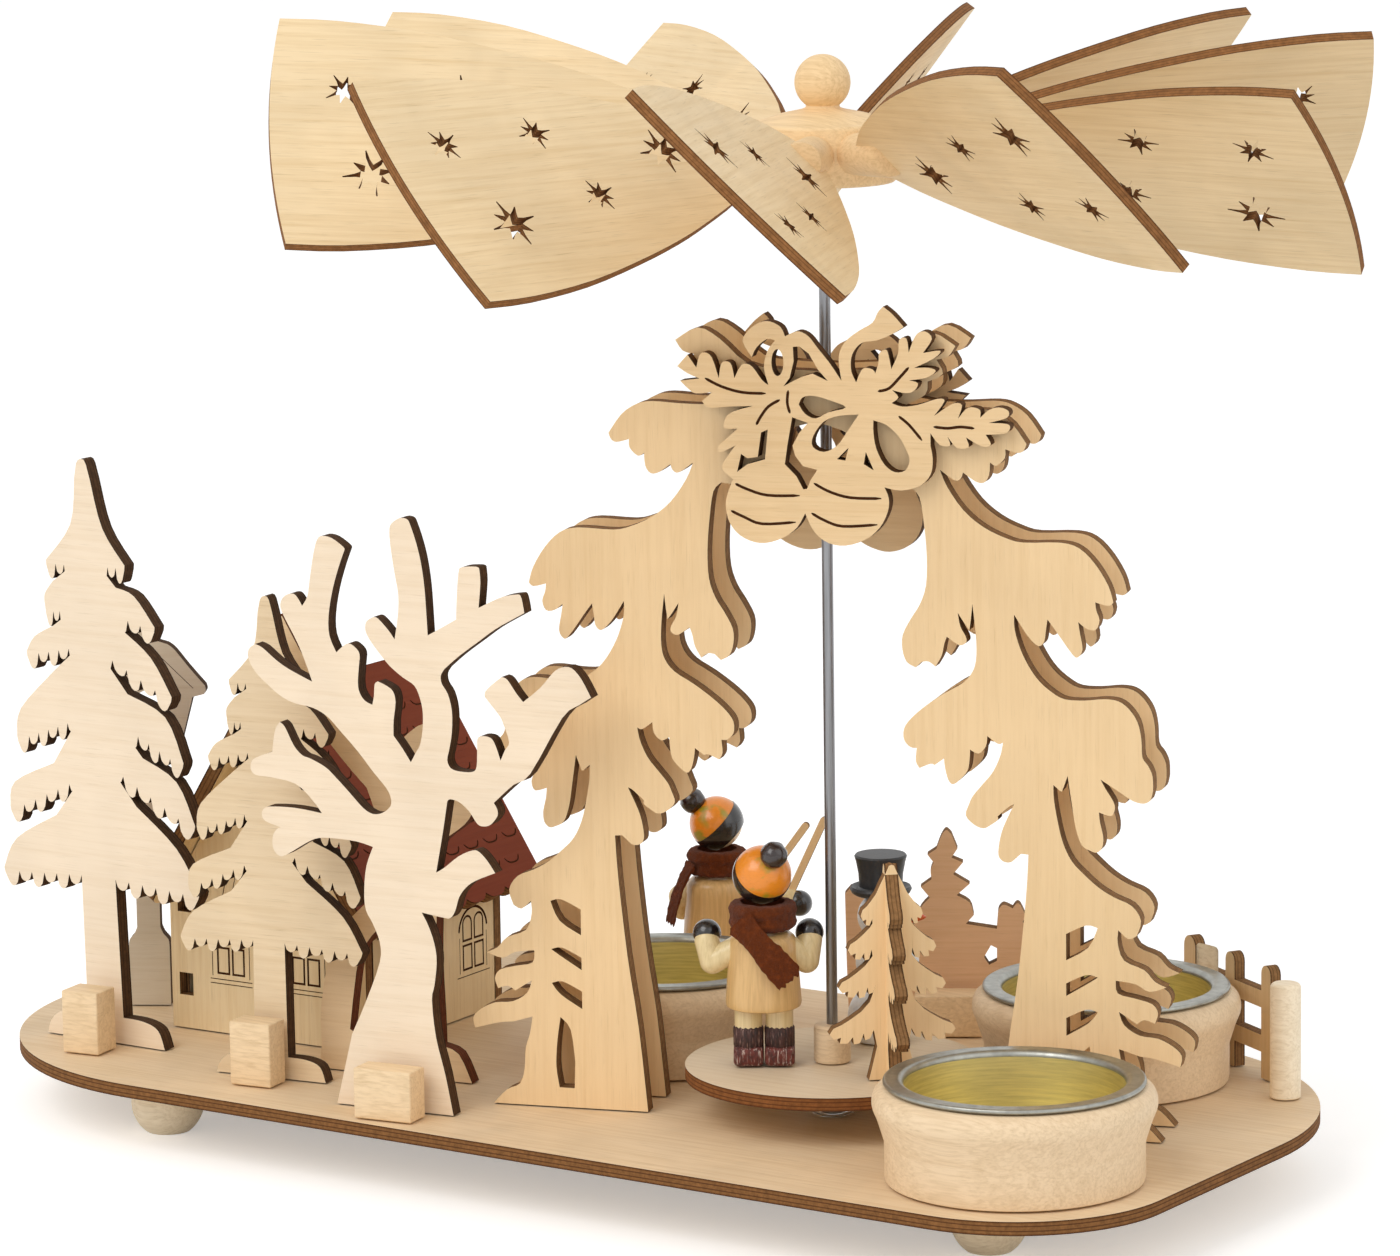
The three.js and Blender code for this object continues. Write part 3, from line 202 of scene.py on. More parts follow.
def ribbon(centre: Sequence[Point], width: float, steps: int = 4) -> Line:
    """Draws a strip of even width with pointed ends along a smooth centre line.

    Args:
        centre: The points of its centre line.
        width: How wide the strip is.
        steps: How many short edges replace each stretch.

    Returns:
        The strip's outline.
    """
    line = smooth(centre, steps) if len(centre) > 2 else list(centre)
    left, right = [], []
    last = len(line) - 1
    for i, (x, z) in enumerate(line):
        before, after = line[max(i - 1, 0)], line[min(i + 1, last)]
        along = Vector((after[0] - before[0], after[1] - before[1])).normalized()
        half = width / 2 * (POINTED_END if i in (0, last) else 1.0)
        left.append((x - along.y * half, z + along.x * half))
        right.append((x + along.y * half, z - along.x * half))
    return [*left, *reversed(right)]


def framed(low: Point, high: Point, width: float, arched: bool = False) -> Ring:
    """Draws a line round a pane.

    Args:
        low, high: The pane's corners; the line lies inside them.
        width: The line's width.
        arched: Whether the pane has a round top.

    Returns:
        The outer and the inner outline of the line.
    """
    loops = []
    for inset in (0.0, width):
        (x0, z0), (x1, z1) = (low[0] + inset, low[1] + inset), (high[0] - inset, high[1] - inset)
        top = [(x1, z1), (x0, z1)]
        if arched:
            half = (x1 - x0) / 2
            top = arc(((x0 + x1) / 2, z1 - half), half, 0, 180, 14)
        loops.append([(x0, z0), (x1, z0), *top])
    return loops[0], loops[1]


def at_angle(centre: Point, radius: float, degrees: float) -> Point:
    """Returns the point of a circle at an angle from its right."""
    angle = math.radians(degrees)
    return (centre[0] + radius * math.cos(angle), centre[1] + radius * math.sin(angle))


def arc(centre: Point, radius: float, start: float, end: float, steps: int) -> Line:
    """Draws an arc from start to end, in degrees, as steps edges."""
    return [at_angle(centre, radius, start + (end - start) * i / steps) for i in range(steps + 1)]


# Meshes, made in millimetres.

# Points that lie closer than this become one.
TOUCHING = 0.0005


class Cut(Enum):
    """The surfaces of a laser-cut plate, in the order of its material slots."""

    FACE = 0
    EDGE = 1
    SCORCH = 2


# Two maps on every plate: its own plane in millimetres, and how far through an edge a point is.
GRAIN_MAP = "grain"
CUT_MAP = "cut"

# How far apart in the veneer the plates are cut, across and upwards.
SHEET_STEP = (61.0, 37.0)


def draw_loop(bm: BMesh, points: Sequence[Point]) -> list[BMEdge]:
    """Draws a closed loop of edges in the upright plane of a plate's front and returns them."""
    verts = [bm.verts.new((x, 0.0, z)) for x, z in points]
    return [bm.edges.new(pair) for pair in zip(verts, [*verts[1:], verts[0]])]


def fill(bm: BMesh, edges: Sequence[BMEdge], slot: Cut) -> None:
    """Fills loops of edges; a loop inside another one stays open."""
    made = bmesh.ops.triangle_fill(bm, use_beauty=True, edges=edges, normal=(0.0, -1.0, 0.0))["geom"]
    for part in made:
        if isinstance(part, BMFace):
            part.material_index = slot.value


def sink(bm: BMesh, edges: Sequence[BMEdge], depth: float, slot: Cut) -> list[BMEdge]:
    """Draws walls from loops of edges.

    Args:
        bm: The mesh.
        edges: The loops at the front.
        depth: How far the walls go back.
        slot: The surface that the walls belong to.

    Returns:
        The edges at the far end of the walls.
    """
    made = bmesh.ops.extrude_edge_only(bm, edges=edges)["geom"]
    verts = {part for part in made if isinstance(part, BMVert)}
    bmesh.ops.translate(bm, verts=list(verts), vec=(0.0, depth, 0.0))
    for part in made:
        if isinstance(part, BMFace):
            part.material_index = slot.value
    return [part for part in made if isinstance(part, BMEdge) and verts.issuperset(part.verts)]


@dataclass
class Plate:
    """A laser-cut plate that stands upright, its engraved front in the plane of y = 0.

    Attributes:
        outline: The outer cut.
        thickness: How far the plate reaches back.
        holes: Cuts that go right through.
        strokes: Outlines of the engraved strokes; none of them cross.
        rings: Outer and inner outlines of engraved lines that run round.
        groove: How deep a stroke is engraved.
        sheet: Where in the sheet of veneer the plate was cut, so that no two look the same.
    """

    outline: Line
    thickness: float
    holes: list[Line] = field(default_factory=list)
    strokes: list[Line] = field(default_factory=list)
    rings: list[Ring] = field(default_factory=list)
    groove: float = 0.3
    sheet: float = 0.0

    def mesh(self) -> BMesh:
        """Builds the plate with its two maps."""
        bm = bmesh.new()
        through = [edge for loop in (untangled(self.outline), *self.holes) for edge in draw_loop(bm, loop)]
        engraved = [draw_loop(bm, loop) for loop in self.strokes]
        engraved += [[*draw_loop(bm, outer), *draw_loop(bm, inner)] for outer, inner in self.rings]
        fill(bm, [*through, *(edge for loop in engraved for edge in loop)], Cut.FACE)
        fill(bm, sink(bm, through, self.thickness, Cut.EDGE), Cut.FACE)
        for loop in engraved:
            fill(bm, sink(bm, loop, self.groove, Cut.SCORCH), Cut.SCORCH)
        bmesh.ops.recalc_face_normals(bm, faces=bm.faces)
        grain, cut = bm.loops.layers.uv.new(GRAIN_MAP), bm.loops.layers.uv.new(CUT_MAP)
        shift_x, shift_z = (step * self.sheet for step in SHEET_STEP)
        for face in bm.faces:
            for corner in face.loops:
                place = corner.vert.co
                corner[grain].uv = (place.x + shift_x, place.z + shift_z)
                corner[cut].uv = (place.x + place.z, place.y / self.thickness)
        return bm


# Turns an upright plate to lie flat, its engraved front uppermost.
LYING = Matrix.Rotation(-math.pi / 2, 4, "X")


def closed_by(bm: BMesh) -> BMesh:
    """Merges what touches and turns every face outwards."""
    bmesh.ops.remove_doubles(bm, verts=bm.verts, dist=TOUCHING)
    bmesh.ops.recalc_face_normals(bm, faces=bm.faces)
    return bm


def placed(bm: BMesh, place: Matrix) -> BMesh:
    """Moves a mesh to its place and returns it."""
    bmesh.ops.transform(bm, matrix=place, verts=bm.verts)
    return bm


def turned(profile: Sequence[Point], steps: int = 64) -> BMesh:
    """Turns a profile round the upright axis.

    Args:
        profile: (radius, height) points, from the axis to the axis, or closed.
        steps: How many facets go round.

    Returns:
        The closed mesh.
    """
    bm = bmesh.new()
    verts = [bm.verts.new((r, 0.0, z)) for r, z in profile]
    edges = [bm.edges.new(pair) for pair in zip(verts, verts[1:])]
    bmesh.ops.spin(bm, geom=[*verts, *edges], cent=(0, 0, 0), axis=(0, 0, 1), angle=2 * math.pi,
                   steps=steps, use_merge=True, use_duplicate=False)
    return closed_by(bm)


def ball(radius: float, at: Point3 = (0.0, 0.0, 0.0), steps: int = 28) -> BMesh:
    """Makes a round ball around a point."""
    return placed(turned(arc((0.0, 0.0), radius, -90, 90, steps // 2), steps), Matrix.Translation(at))


def block(size: Point3, rounding: float, segments: int = 2) -> BMesh:
    """Makes a block with rounded edges that stands on z = 0, centred on the upright axis."""
    bm = bmesh.new()
    bmesh.ops.create_cube(bm, size=1.0)
    bmesh.ops.scale(bm, vec=size, verts=bm.verts)
    bmesh.ops.translate(bm, vec=(0.0, 0.0, size[2] / 2), verts=bm.verts)
    bmesh.ops.bevel(bm, geom=bm.edges, offset=rounding, segments=segments, profile=0.5,
                    affect="EDGES", material=-1)
    return bm


def limb(joints: Sequence[Point3], radii: Sequence[float]) -> BMesh:
    """Makes a bent limb: rounded stretches that overlap at the joints.

    Args:
        joints: The centres of its joints.
        radii: Its radius at each joint.

    Returns:
        The mesh, one closed shell for each stretch.
    """
    bm = bmesh.new()
    facets, end_facets = 36, 10
    for (start, end), (r0, r1) in zip(zip(joints, joints[1:]), zip(radii, radii[1:])):
        axis = Vector(end) - Vector(start)
        low_end = arc((0, 0), r0, -90, 0, end_facets)
        high_end = arc((0, axis.length), r1, 0, 90, end_facets)
        stretch = turned([*low_end, *high_end], facets)
        add_to(bm, stretch, Matrix.Translation(start) @ toward(axis))
    return bm


def add_to(bm: BMesh, part: BMesh, place: Matrix | None = None, slot: int | None = None) -> BMesh:
    """Adds one mesh to another and frees it.

    Args:
        bm: The mesh that grows.
        part: The mesh that is added.
        place: Where the part goes.
        slot: The material slot that all its faces take, its own if left out.

    Returns:
        The mesh that grew.
    """
    if place is not None:
        placed(part, place)
    if slot is not None:
        for face in part.faces:
            face.material_index = slot
    carrier = bpy.data.meshes.new("carrier")
    part.to_mesh(carrier)
    part.free()
    bm.from_mesh(carrier)
    bpy.data.meshes.remove(carrier)
    return bm


def together(*parts: tuple[BMesh, int | None]) -> BMesh:
    """Puts closed parts into one mesh, each in the slot beside it or, for None, in those it has."""
    bm = bmesh.new()
    for part, slot in parts:
        add_to(bm, part, slot=slot)
    return bm


def toward(direction: Point3) -> Matrix:
    """Returns the turn that brings the upright axis to a direction."""
    return Vector((0, 0, 1)).rotation_difference(Vector(direction)).to_matrix().to_4x4()


def roughen(bm: BMesh, height: float, size: float) -> BMesh:
    """Moves every point a little along its normal, as hand work and felt do.

    Args:
        bm: The mesh.
        height: How far a point may move.
        size: The size of the unevenness.

    Returns:
        The same mesh.
    """
    bm.normal_update()
    moves = [(vert, vert.normal * noise.noise(vert.co / size) * height) for vert in bm.verts]
    for vert, move in moves:
        vert.co += move
    return bm


# Places, in millimetres and degrees.


def raised(height: float) -> Matrix:
    """Returns the move straight up by a height."""
    return Matrix.Translation((0, 0, height))


def spun(degrees: float, axis: str = "Z") -> Matrix:
    """Returns the turn round an axis."""
    return Matrix.Rotation(math.radians(degrees), 4, axis)


@dataclass(frozen=True)
class Place:
    """Where a piece stands: its foot, and its turn round the upright axis."""

    x: float = 0.0
    y: float = 0.0
    z: float = 0.0
    turn: float = 0.0

    def matrix(self) -> Matrix:
        """Returns the place as a matrix."""
        return Matrix.Translation((self.x, self.y, self.z)) @ spun(self.turn)


def shaft_foot() -> Vector:
    """Returns the point that places are measured from: the shaft's axis at the board's underside."""
    low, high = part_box("shaft")
    return Vector(((low.x + high.x) / 2, (low.y + high.y) / 2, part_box("base_board")[0].z)) / MM


ORIGIN = shaft_foot()


def foot_of(node: str) -> float:
    """Returns the height of a CAD node's lowest point above the board's underside."""
    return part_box(node)[0].z / MM - ORIGIN.z


def middle_of(node: str) -> Vector:
    """Returns the middle of a CAD node's box, measured from the shaft's foot."""
    low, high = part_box(node)
    return (low + high) / (2 * MM) - ORIGIN


# Shaders.


class Value:
    """A number in a shader tree. Python's operators on it add Math nodes."""

    def __init__(self, dye: "Dye", socket: bpy.types.NodeSocket) -> None:
        """Wraps a socket of the tree that dye builds."""
        self.dye = dye
        self.socket = socket

    def _math(self, operation: str, *others: "Value | float", clamp: bool = False) -> "Value":
        """Adds a Math node on this value and the others."""
        inputs = {i: other for i, other in enumerate((self, *others))}
        made = self.dye.node("ShaderNodeMath", {"operation": operation, "use_clamp": clamp}, inputs)
        return Value(self.dye, made.outputs[0])

    def __add__(self, other: "Value | float") -> "Value":
        """Adds."""
        return self._math("ADD", other)

    __radd__ = __add__

    def __sub__(self, other: "Value | float") -> "Value":
        """Subtracts."""
        return self._math("SUBTRACT", other)

    def __rsub__(self, other: float) -> "Value":
        """Subtracts this value from a number."""
        made = self.dye.node("ShaderNodeMath", {"operation": "SUBTRACT"}, {0: other, 1: self})
        return Value(self.dye, made.outputs[0])

    def __mul__(self, other: "Value | float") -> "Value":
        """Multiplies."""
        return self._math("MULTIPLY", other)

    __rmul__ = __mul__

    def __abs__(self) -> "Value":
        """Takes the size without the sign."""
        return self._math("ABSOLUTE")

    def above(self, low: float, high: float) -> "Value":
        """Returns 0 below low, 1 above high and a ramp between them."""
        return ((self - low) * (1.0 / (high - low)))._math("ADD", 0.0, clamp=True)


# The sockets of a Mix node that mixes colours: its factor, its two colours and what it gives.
MIX_FACTOR, MIX_FIRST, MIX_SECOND, MIX_RESULT = 0, 6, 7, 2


class Dye:
    """Builds one material: a Principled shader with what changes over its surface."""

    def __init__(self, name: str) -> None:
        """Starts an empty material of that name."""
        self.material = bpy.data.materials.new(name)
        self.material.use_nodes = True
        self.tree = self.material.node_tree
        self.shader = self.tree.nodes["Principled BSDF"]

    def node(self, kind: str, settings: dict[str, object] | None = None,
             inputs: dict[str | int, object] | None = None) -> bpy.types.Node:
        """Adds a node.

        Args:
            kind: The node's type.
            settings: Its properties, set first.
            inputs: Values or links of its sockets, by name or number.

        Returns:
            The node.
        """
        made = self.tree.nodes.new(kind)
        for key, value in (settings or {}).items():
            setattr(made, key, value)
        for key, value in (inputs or {}).items():
            self.feed(made.inputs[key], value)
        return made

    def feed(self, socket: bpy.types.NodeSocket, value: object) -> None:
        """Links a value to a socket, or sets it there."""
        if isinstance(value, Value):
            value = value.socket
        if isinstance(value, bpy.types.NodeSocket):
            self.tree.links.new(value, socket)
        else:
            socket.default_value = value

    def place(self, stretch: Point3) -> bpy.types.NodeSocket:
        """Returns Object coordinates, with so many pattern units to a millimetre along each axis."""
        coords = self.node("ShaderNodeTexCoord").outputs["Object"]
        scale = tuple(s / MM for s in stretch)
        return self.node("ShaderNodeMapping", {}, {"Vector": coords, "Scale": scale}).outputs[0]

    def sheet(self, stretch: Point) -> bpy.types.NodeSocket:
        """Returns the plate's own plane, with so many pattern units to a millimetre across and up."""
        plane = self.node("ShaderNodeUVMap", {"uv_map": GRAIN_MAP}).outputs["UV"]
        return self.node("ShaderNodeMapping", {}, {"Vector": plane, "Scale": (*stretch, 1.0)}).outputs[0]

    def noise(self, vector: bpy.types.NodeSocket, detail: float, rough: float, twist: float = 0.0) -> Value:
        """Returns a noise value over a vector."""
        made = self.node("ShaderNodeTexNoise", {}, {
            "Vector": vector, "Scale": 1.0, "Detail": detail, "Roughness": rough, "Distortion": twist})
        return Value(self, made.outputs["Fac"])

    def across(self) -> Value:
        """Returns how far through the plywood an edge is, from 0 at the front to 1 at the back."""
        cut = self.node("ShaderNodeUVMap", {"uv_map": CUT_MAP}).outputs["UV"]
        split = self.node("ShaderNodeSeparateXYZ", {}, {0: cut})
        return Value(self, split.outputs["Y"])

    def mix(self, factor: Value, first: object, second: object) -> bpy.types.NodeSocket:
        """Mixes two colours by a factor and returns the colour socket."""
        inputs = {MIX_FACTOR: factor, MIX_FIRST: first, MIX_SECOND: second}
        return self.node("ShaderNodeMix", {"data_type": "RGBA"}, inputs).outputs[MIX_RESULT]

    def finish(self, colour: object, rough: object, bump: Value | None = None, depth: float = 0.02,
               **constants: float) -> bpy.types.Material:
        """Feeds the shader and returns the material.

        Args:
            colour: The base colour.
            rough: The roughness.
            bump: A height over the surface, from 0 to 1.
            depth: What a height of 1 stands for, in millimetres.
            constants: Other values of the shader, by socket name with underscores.

        Returns:
            The finished material.
        """
        self.feed(self.shader.inputs["Base Color"], colour)
        self.feed(self.shader.inputs["Roughness"], rough)
        if bump is not None:
            relief = self.node("ShaderNodeBump", {}, {
                "Strength": 1.0, "Distance": depth * MM, "Height": bump})
            self.feed(self.shader.inputs["Normal"], relief.outputs[0])
        for key, value in constants.items():
            self.shader.inputs[key.replace("_", " ")].default_value = value
        return self.material


def paint(colour: Colour, shade: float = 1.0) -> tuple[float, float, float, float]:
    """Turns a colour of 0 to 255 into the shader's linear one, darker by shade."""
    linear = []
    for part in colour:
        value = part / 255
        linear.append(shade * (value / 12.92 if value <= 0.04045 else ((value + 0.055) / 1.055) ** 2.4))
    return (*linear, 1.0)


# How fine the pattern of wood is along its grain, against 1 across it.
ALONG_GRAIN = 0.035


class Grain(Enum):
    """The way that grain runs: the fineness of the pattern along x, y and z."""

    LEVEL = (ALONG_GRAIN, 1.0, 1.0)
    UPRIGHT = (1.0, 1.0, ALONG_GRAIN)

    def flat(self, size: float) -> Point:
        """Returns the fineness across a plate and up it, size times as fine."""
        return (self.value[0] * size, self.value[2] * size)


@dataclass(frozen=True)
class Finish:
    """A surface finish; each kind makes its own material."""

    name: str

    def make(self) -> bpy.types.Material:
        """Makes the material."""
        raise NotImplementedError


@cache
def material_of(finish: Finish) -> bpy.types.Material:
    """Returns the material of a finish, made once."""
    return finish.make()


@dataclass(frozen=True)
class Veneer(Finish):
    """The face of birch or beech plywood: streaks, pores and a cloudy tone.

    Attributes:
        colour: Its colour.
        grain: The way that the grain runs on the plate.
        figure: How strongly the grain shows.
    """

    colour: Colour
    grain: Grain = Grain.UPRIGHT
    figure: float = 1.0

    def make(self) -> bpy.types.Material:
        """Makes the material."""
        dye = Dye(self.name)
        streaks = dye.noise(dye.sheet(self.grain.flat(0.9)), 5.0, 0.6, 0.3)
        pores = dye.noise(dye.sheet(self.grain.flat(4.0)), 2.0, 0.5).above(0.6, 0.74)
        cloud = dye.noise(dye.sheet((0.05, 0.04)), 2.0, 0.5, 0.6)
        clouded, streaked, pored = (self.figure * share for share in (0.5, 0.42, 0.3))
        brown = warmer(self.colour)
        tone = dye.mix(cloud.above(0.35, 0.75) * clouded, paint(self.colour), paint(self.colour, 0.78))
        tone = dye.mix(streaks.above(0.42, 0.72) * streaked, tone, paint(brown, 0.74))
        tone = dye.mix(pores * pored, tone, paint(brown, 0.45))
        rough = 0.5 + 0.16 * streaks
        return dye.finish(tone, rough, 1.0 - pores * 0.6 + streaks * 0.4, 0.03, Specular_IOR_Level=0.2)


def warmer(colour: Colour) -> Colour:
    """Returns a colour with less blue, as in the darker streaks of wood."""
    red, green, blue = colour
    return (red, round(green * 0.94), round(blue * 0.82))


@dataclass(frozen=True)
class BurntEdge(Finish):
    """The edge that a laser leaves: dark rims and browner plies between them.

    Attributes:
        core: The colour between the rims.
        rim: The colour of the rims and of the glue lines.
        plies: How strongly the glue lines show.
    """

    core: Colour
    rim: Colour
    plies: float = 0.5

    def make(self) -> bpy.types.Material:
        """Makes the material."""
        dye = Dye(self.name)
        across = dye.across()
        mottle = dye.noise(dye.place((0.9, 0.9, 0.9)), 4.0, 0.7)
        middle, glue_line = 0.5, 0.17
        rims = abs(across - middle).above(0.34, 0.47)
        glue = 1.0 - abs(abs(across - middle) - glue_line).above(0.02, 0.06)
        tone = dye.mix(mottle.above(0.3, 0.7), paint(self.core), paint(self.core, 0.55))
        tone = dye.mix(glue * self.plies, tone, paint(self.rim))
        tone = dye.mix(rims, tone, paint(self.rim))
        return dye.finish(tone, 0.85, mottle, 0.08, Specular_IOR_Level=0.15)


@dataclass(frozen=True)
class Scorch(Finish):
    """An engraved stroke, burnt brown.

    Attributes:
        colour: The burnt colour.
    """

    colour: Colour

    def make(self) -> bpy.types.Material:
        """Makes the material."""
        dye = Dye(self.name)
        mottle = dye.noise(dye.place((1.6, 1.6, 1.6)), 3.0, 0.7)
        tone = dye.mix(mottle.above(0.35, 0.7), paint(self.colour), paint(self.colour, 0.5))
        return dye.finish(tone, 0.9, mottle, 0.05, Specular_IOR_Level=0.15)


@dataclass(frozen=True)
class TurnedWood(Finish):
    """Turned beech or pine: grain lines through the block and faint tool marks round it.

    Attributes:
        colour: Its colour.
        rings: How strongly the growth rings show.
        grain: The way that the grain runs through the block.
        gloss: The weight of a clear lacquer.
    """

    colour: Colour
    rings: float
    grain: Grain = Grain.LEVEL
    gloss: float = 0.0

    def make(self) -> bpy.types.Material:
        """Makes the material."""
        dye = Dye(self.name)
        run = Vector(self.grain.value)
        rings = dye.noise(dye.place(tuple(run * 0.42)), 2.0, 0.4, 1.2)
        streaks = dye.noise(dye.place(tuple(run * 2.0)), 5.0, 0.65)
        marks = dye.noise(dye.place((0.02, 0.02, 5.0)), 2.0, 0.5)
        bands = abs(rings - 0.5).above(0.0, 0.09)
        brown = warmer(self.colour)
        tone = dye.mix((1.0 - bands) * (0.4 * self.rings), paint(self.colour), paint(brown, 0.62))
        tone = dye.mix(streaks.above(0.45, 0.72) * 0.4, tone, paint(brown, 0.6))
        rough = 0.46 + 0.14 * streaks
        return dye.finish(tone, rough, marks * 0.6 + streaks * 0.4, 0.03,
                          Coat_Weight=self.gloss, Coat_Roughness=0.14, Specular_IOR_Level=0.25)


@dataclass(frozen=True)
class PaintedWood(Finish):
    """Brush paint on turned wood, with second-colour patches where two coats show.

    Attributes:
        colour: The paint.
        patch: The colour of the patches.
        share: How much of the surface the patches take.
        rough: The roughness.
        gloss: The weight of a clear lacquer.
    """

    colour: Colour
    patch: Colour
    share: float = 0.3
    rough: float = 0.32
    gloss: float = 0.5

    def make(self) -> bpy.types.Material:
        """Makes the material."""
        dye = Dye(self.name)
        patches = dye.noise(dye.place((0.22, 0.22, 0.3)), 2.0, 0.5, 0.4)
        brush = dye.noise(dye.place((1.4, 1.4, 3.2)), 3.0, 0.6)
        low = 0.72 - 0.4 * self.share
        tone = dye.mix(patches.above(low, low + 0.1), paint(self.colour), paint(self.patch))
        tone = dye.mix(brush.above(0.5, 0.75) * 0.25, tone, paint(self.colour, 0.6))
        return dye.finish(tone, self.rough, brush, 0.05, Coat_Weight=self.gloss, Coat_Roughness=0.1)


@dataclass(frozen=True)
class Streaked(Finish):
    """Two paints dragged upwards with a dry brush, as on the boots.

    Attributes:
        dark: The ground colour.
        pale: The colour of the dragged streaks.
        share: How much of the surface is streaked.
    """

    dark: Colour
    pale: Colour
    share: float

    def make(self) -> bpy.types.Material:
        """Makes the material."""
        dye = Dye(self.name)
        lines = dye.noise(dye.place((3.2, 3.2, 0.35)), 3.0, 0.7)
        shade = dye.noise(dye.place((1.6, 1.6, 0.8)), 2.0, 0.5)
        low = 0.68 - 0.3 * self.share
        tone = dye.mix(shade.above(0.4, 0.65), paint(self.dark), paint(self.dark, 0.4))
        tone = dye.mix(lines.above(low, low + 0.12) * 0.8, tone, paint(self.pale))
        return dye.finish(tone, 0.5, lines, 0.3)


@dataclass(frozen=True)
class Felt(Finish):
    """Brown felt: matted fibres and a soft sheen.

    Attributes:
        colour: Its colour.
    """

    colour: Colour

    def make(self) -> bpy.types.Material:
        """Makes the material."""
        dye = Dye(self.name)
        fibres = dye.noise(dye.place((3.5, 3.5, 3.5)), 5.0, 0.75, 1.2)
        clumps = dye.noise(dye.place((0.9, 0.9, 0.9)), 3.0, 0.6)
        tone = dye.mix(fibres.above(0.35, 0.7), paint(self.colour), paint(self.colour, 0.4))
        tone = dye.mix(clumps.above(0.5, 0.7) * 0.5, tone, paint(self.colour, 1.5))
        return dye.finish(tone, 0.95, fibres * 0.7 + clumps * 0.3, 0.5,
                          Sheen_Weight=0.12, Sheen_Roughness=0.5, Specular_IOR_Level=0.1)


@dataclass(frozen=True)
class Metal(Finish):
    """Drawn or pressed metal with faint marks along its working.

    Attributes:
        colour: Its colour.
        stretch: How many marks a millimetre holds along each axis.
        rough: The roughness.
    """

    colour: Colour
    stretch: Point3
    rough: float

    def make(self) -> bpy.types.Material:
        """Makes the material."""
        dye = Dye(self.name)
        marks = dye.noise(dye.place(self.stretch), 4.0, 0.6)
        tone = dye.mix(marks.above(0.35, 0.7) * 0.6, paint(self.colour), paint(self.colour, 0.55))
        return dye.finish(tone, self.rough + 0.14 * marks, marks, 0.01, Metallic=1.0)


@dataclass(frozen=True)
class ClearGlass(Finish):
    """Moulded clear glass."""

    def make(self) -> bpy.types.Material:
        """Makes the material."""
        dye = Dye(self.name)
        waves = dye.noise(dye.place((0.6, 0.6, 0.6)), 2.0, 0.5)
        return dye.finish((0.93, 0.95, 0.95, 1.0), 0.04 + 0.03 * waves, waves, 0.02,
                          Transmission_Weight=0.9, IOR=1.5)


PALE = (246, 226, 199)
WARM = (244, 212, 165)

EDGE = BurntEdge("burnt_edge", (159, 118, 76), (58, 34, 18))
DARK_EDGE = BurntEdge("burnt_dark_edge", (92, 66, 44), (48, 33, 24), 0.6)
RED_EDGE = BurntEdge("burnt_red_edge", (128, 72, 44), (70, 36, 22), 0.6)
BOARD_EDGE = BurntEdge("burnt_board_edge", (146, 100, 58), (72, 42, 22), 0.8)
WING_EDGE = BurntEdge("burnt_wing_edge", (158, 108, 64), (84, 50, 26), 0.6)
# The ornaments' edges are darker than the other burnt edges: partly the laser's burn, partly painted shade
# for the shade between the ornaments and the arch.
ORNAMENT_EDGE_AND_SHADE = BurntEdge("burnt_ornament_edge_and_painted_shade", (112, 78, 48), (52, 34, 20), 0.8)
STAGE_EDGE = BurntEdge("stage_edge", (146, 92, 50), (84, 48, 24), 0.9)
SCORCH = Scorch("scorched_line", (92, 54, 28))
TURNED = TurnedWood("turned_beech", (240, 214, 178), 0.5)
# Turned beech painted paler for the feet and the fence posts: painted light that makes up for the shade
# they stand in, under the board and behind the cup.
TURNED_LIGHTENED_FOR_SHADE = TurnedWood("turned_beech_painted_light", (254, 238, 210), 0.5)
HUB_WOOD = TurnedWood("turned_hub", (244, 212, 164), 0.6)
PEG = TurnedWood("peg_wood", (236, 204, 158), 0.5)
BLOCK = TurnedWood("sawn_block", (242, 214, 174), 0.6)
COAT = TurnedWood("lacquered_coat", (222, 182, 122), 0.7, Grain.UPRIGHT, 0.6)
LIMB = TurnedWood("lacquered_limb", (232, 210, 160), 0.3, Grain.UPRIGHT, 0.6)
SKIN = PaintedWood("face_wood", (236, 204, 160), (226, 190, 146), 0.2, 0.4, 0.3)
CAP = PaintedWood("cap_paint", (238, 142, 26), (170, 150, 34), 0.5)
BLACK = PaintedWood("black_paint", (26, 22, 21), (38, 32, 30), 0.3, 0.24, 0.6)
POMPOM = PaintedWood("pompom_paint", (38, 22, 20), (20, 14, 14), 0.3, 0.22, 0.6)
WHITE = PaintedWood("white_paint", (240, 241, 240), (226, 229, 232), 0.3, 0.38, 0.2)
HAT = PaintedWood("hat_paint", (44, 45, 47), (30, 30, 32), 0.3, 0.5, 0.1)
NOSE = PaintedWood("nose_paint", (214, 92, 36), (196, 74, 30), 0.3, 0.3, 0.4)
BOOT_UPPER = Streaked("boot_upper", (70, 38, 32), (176, 140, 128), 0.42)
BOOT_LOWER = Streaked("boot_lower", (110, 44, 34), (220, 200, 188), 0.46)
FELT = Felt("scarf_felt", (118, 54, 14))
STEEL = Metal("shaft_steel", (150, 151, 154), (3.0, 3.0, 0.06), 0.28)
RIM = Metal("insert_rim", (168, 168, 160), (0.5, 0.5, 0.5), 0.3)
WELL = Metal("insert_well", (232, 218, 156), (0.12, 0.12, 2.0), 0.36)
GLASS = ClearGlass("bearing_glass")

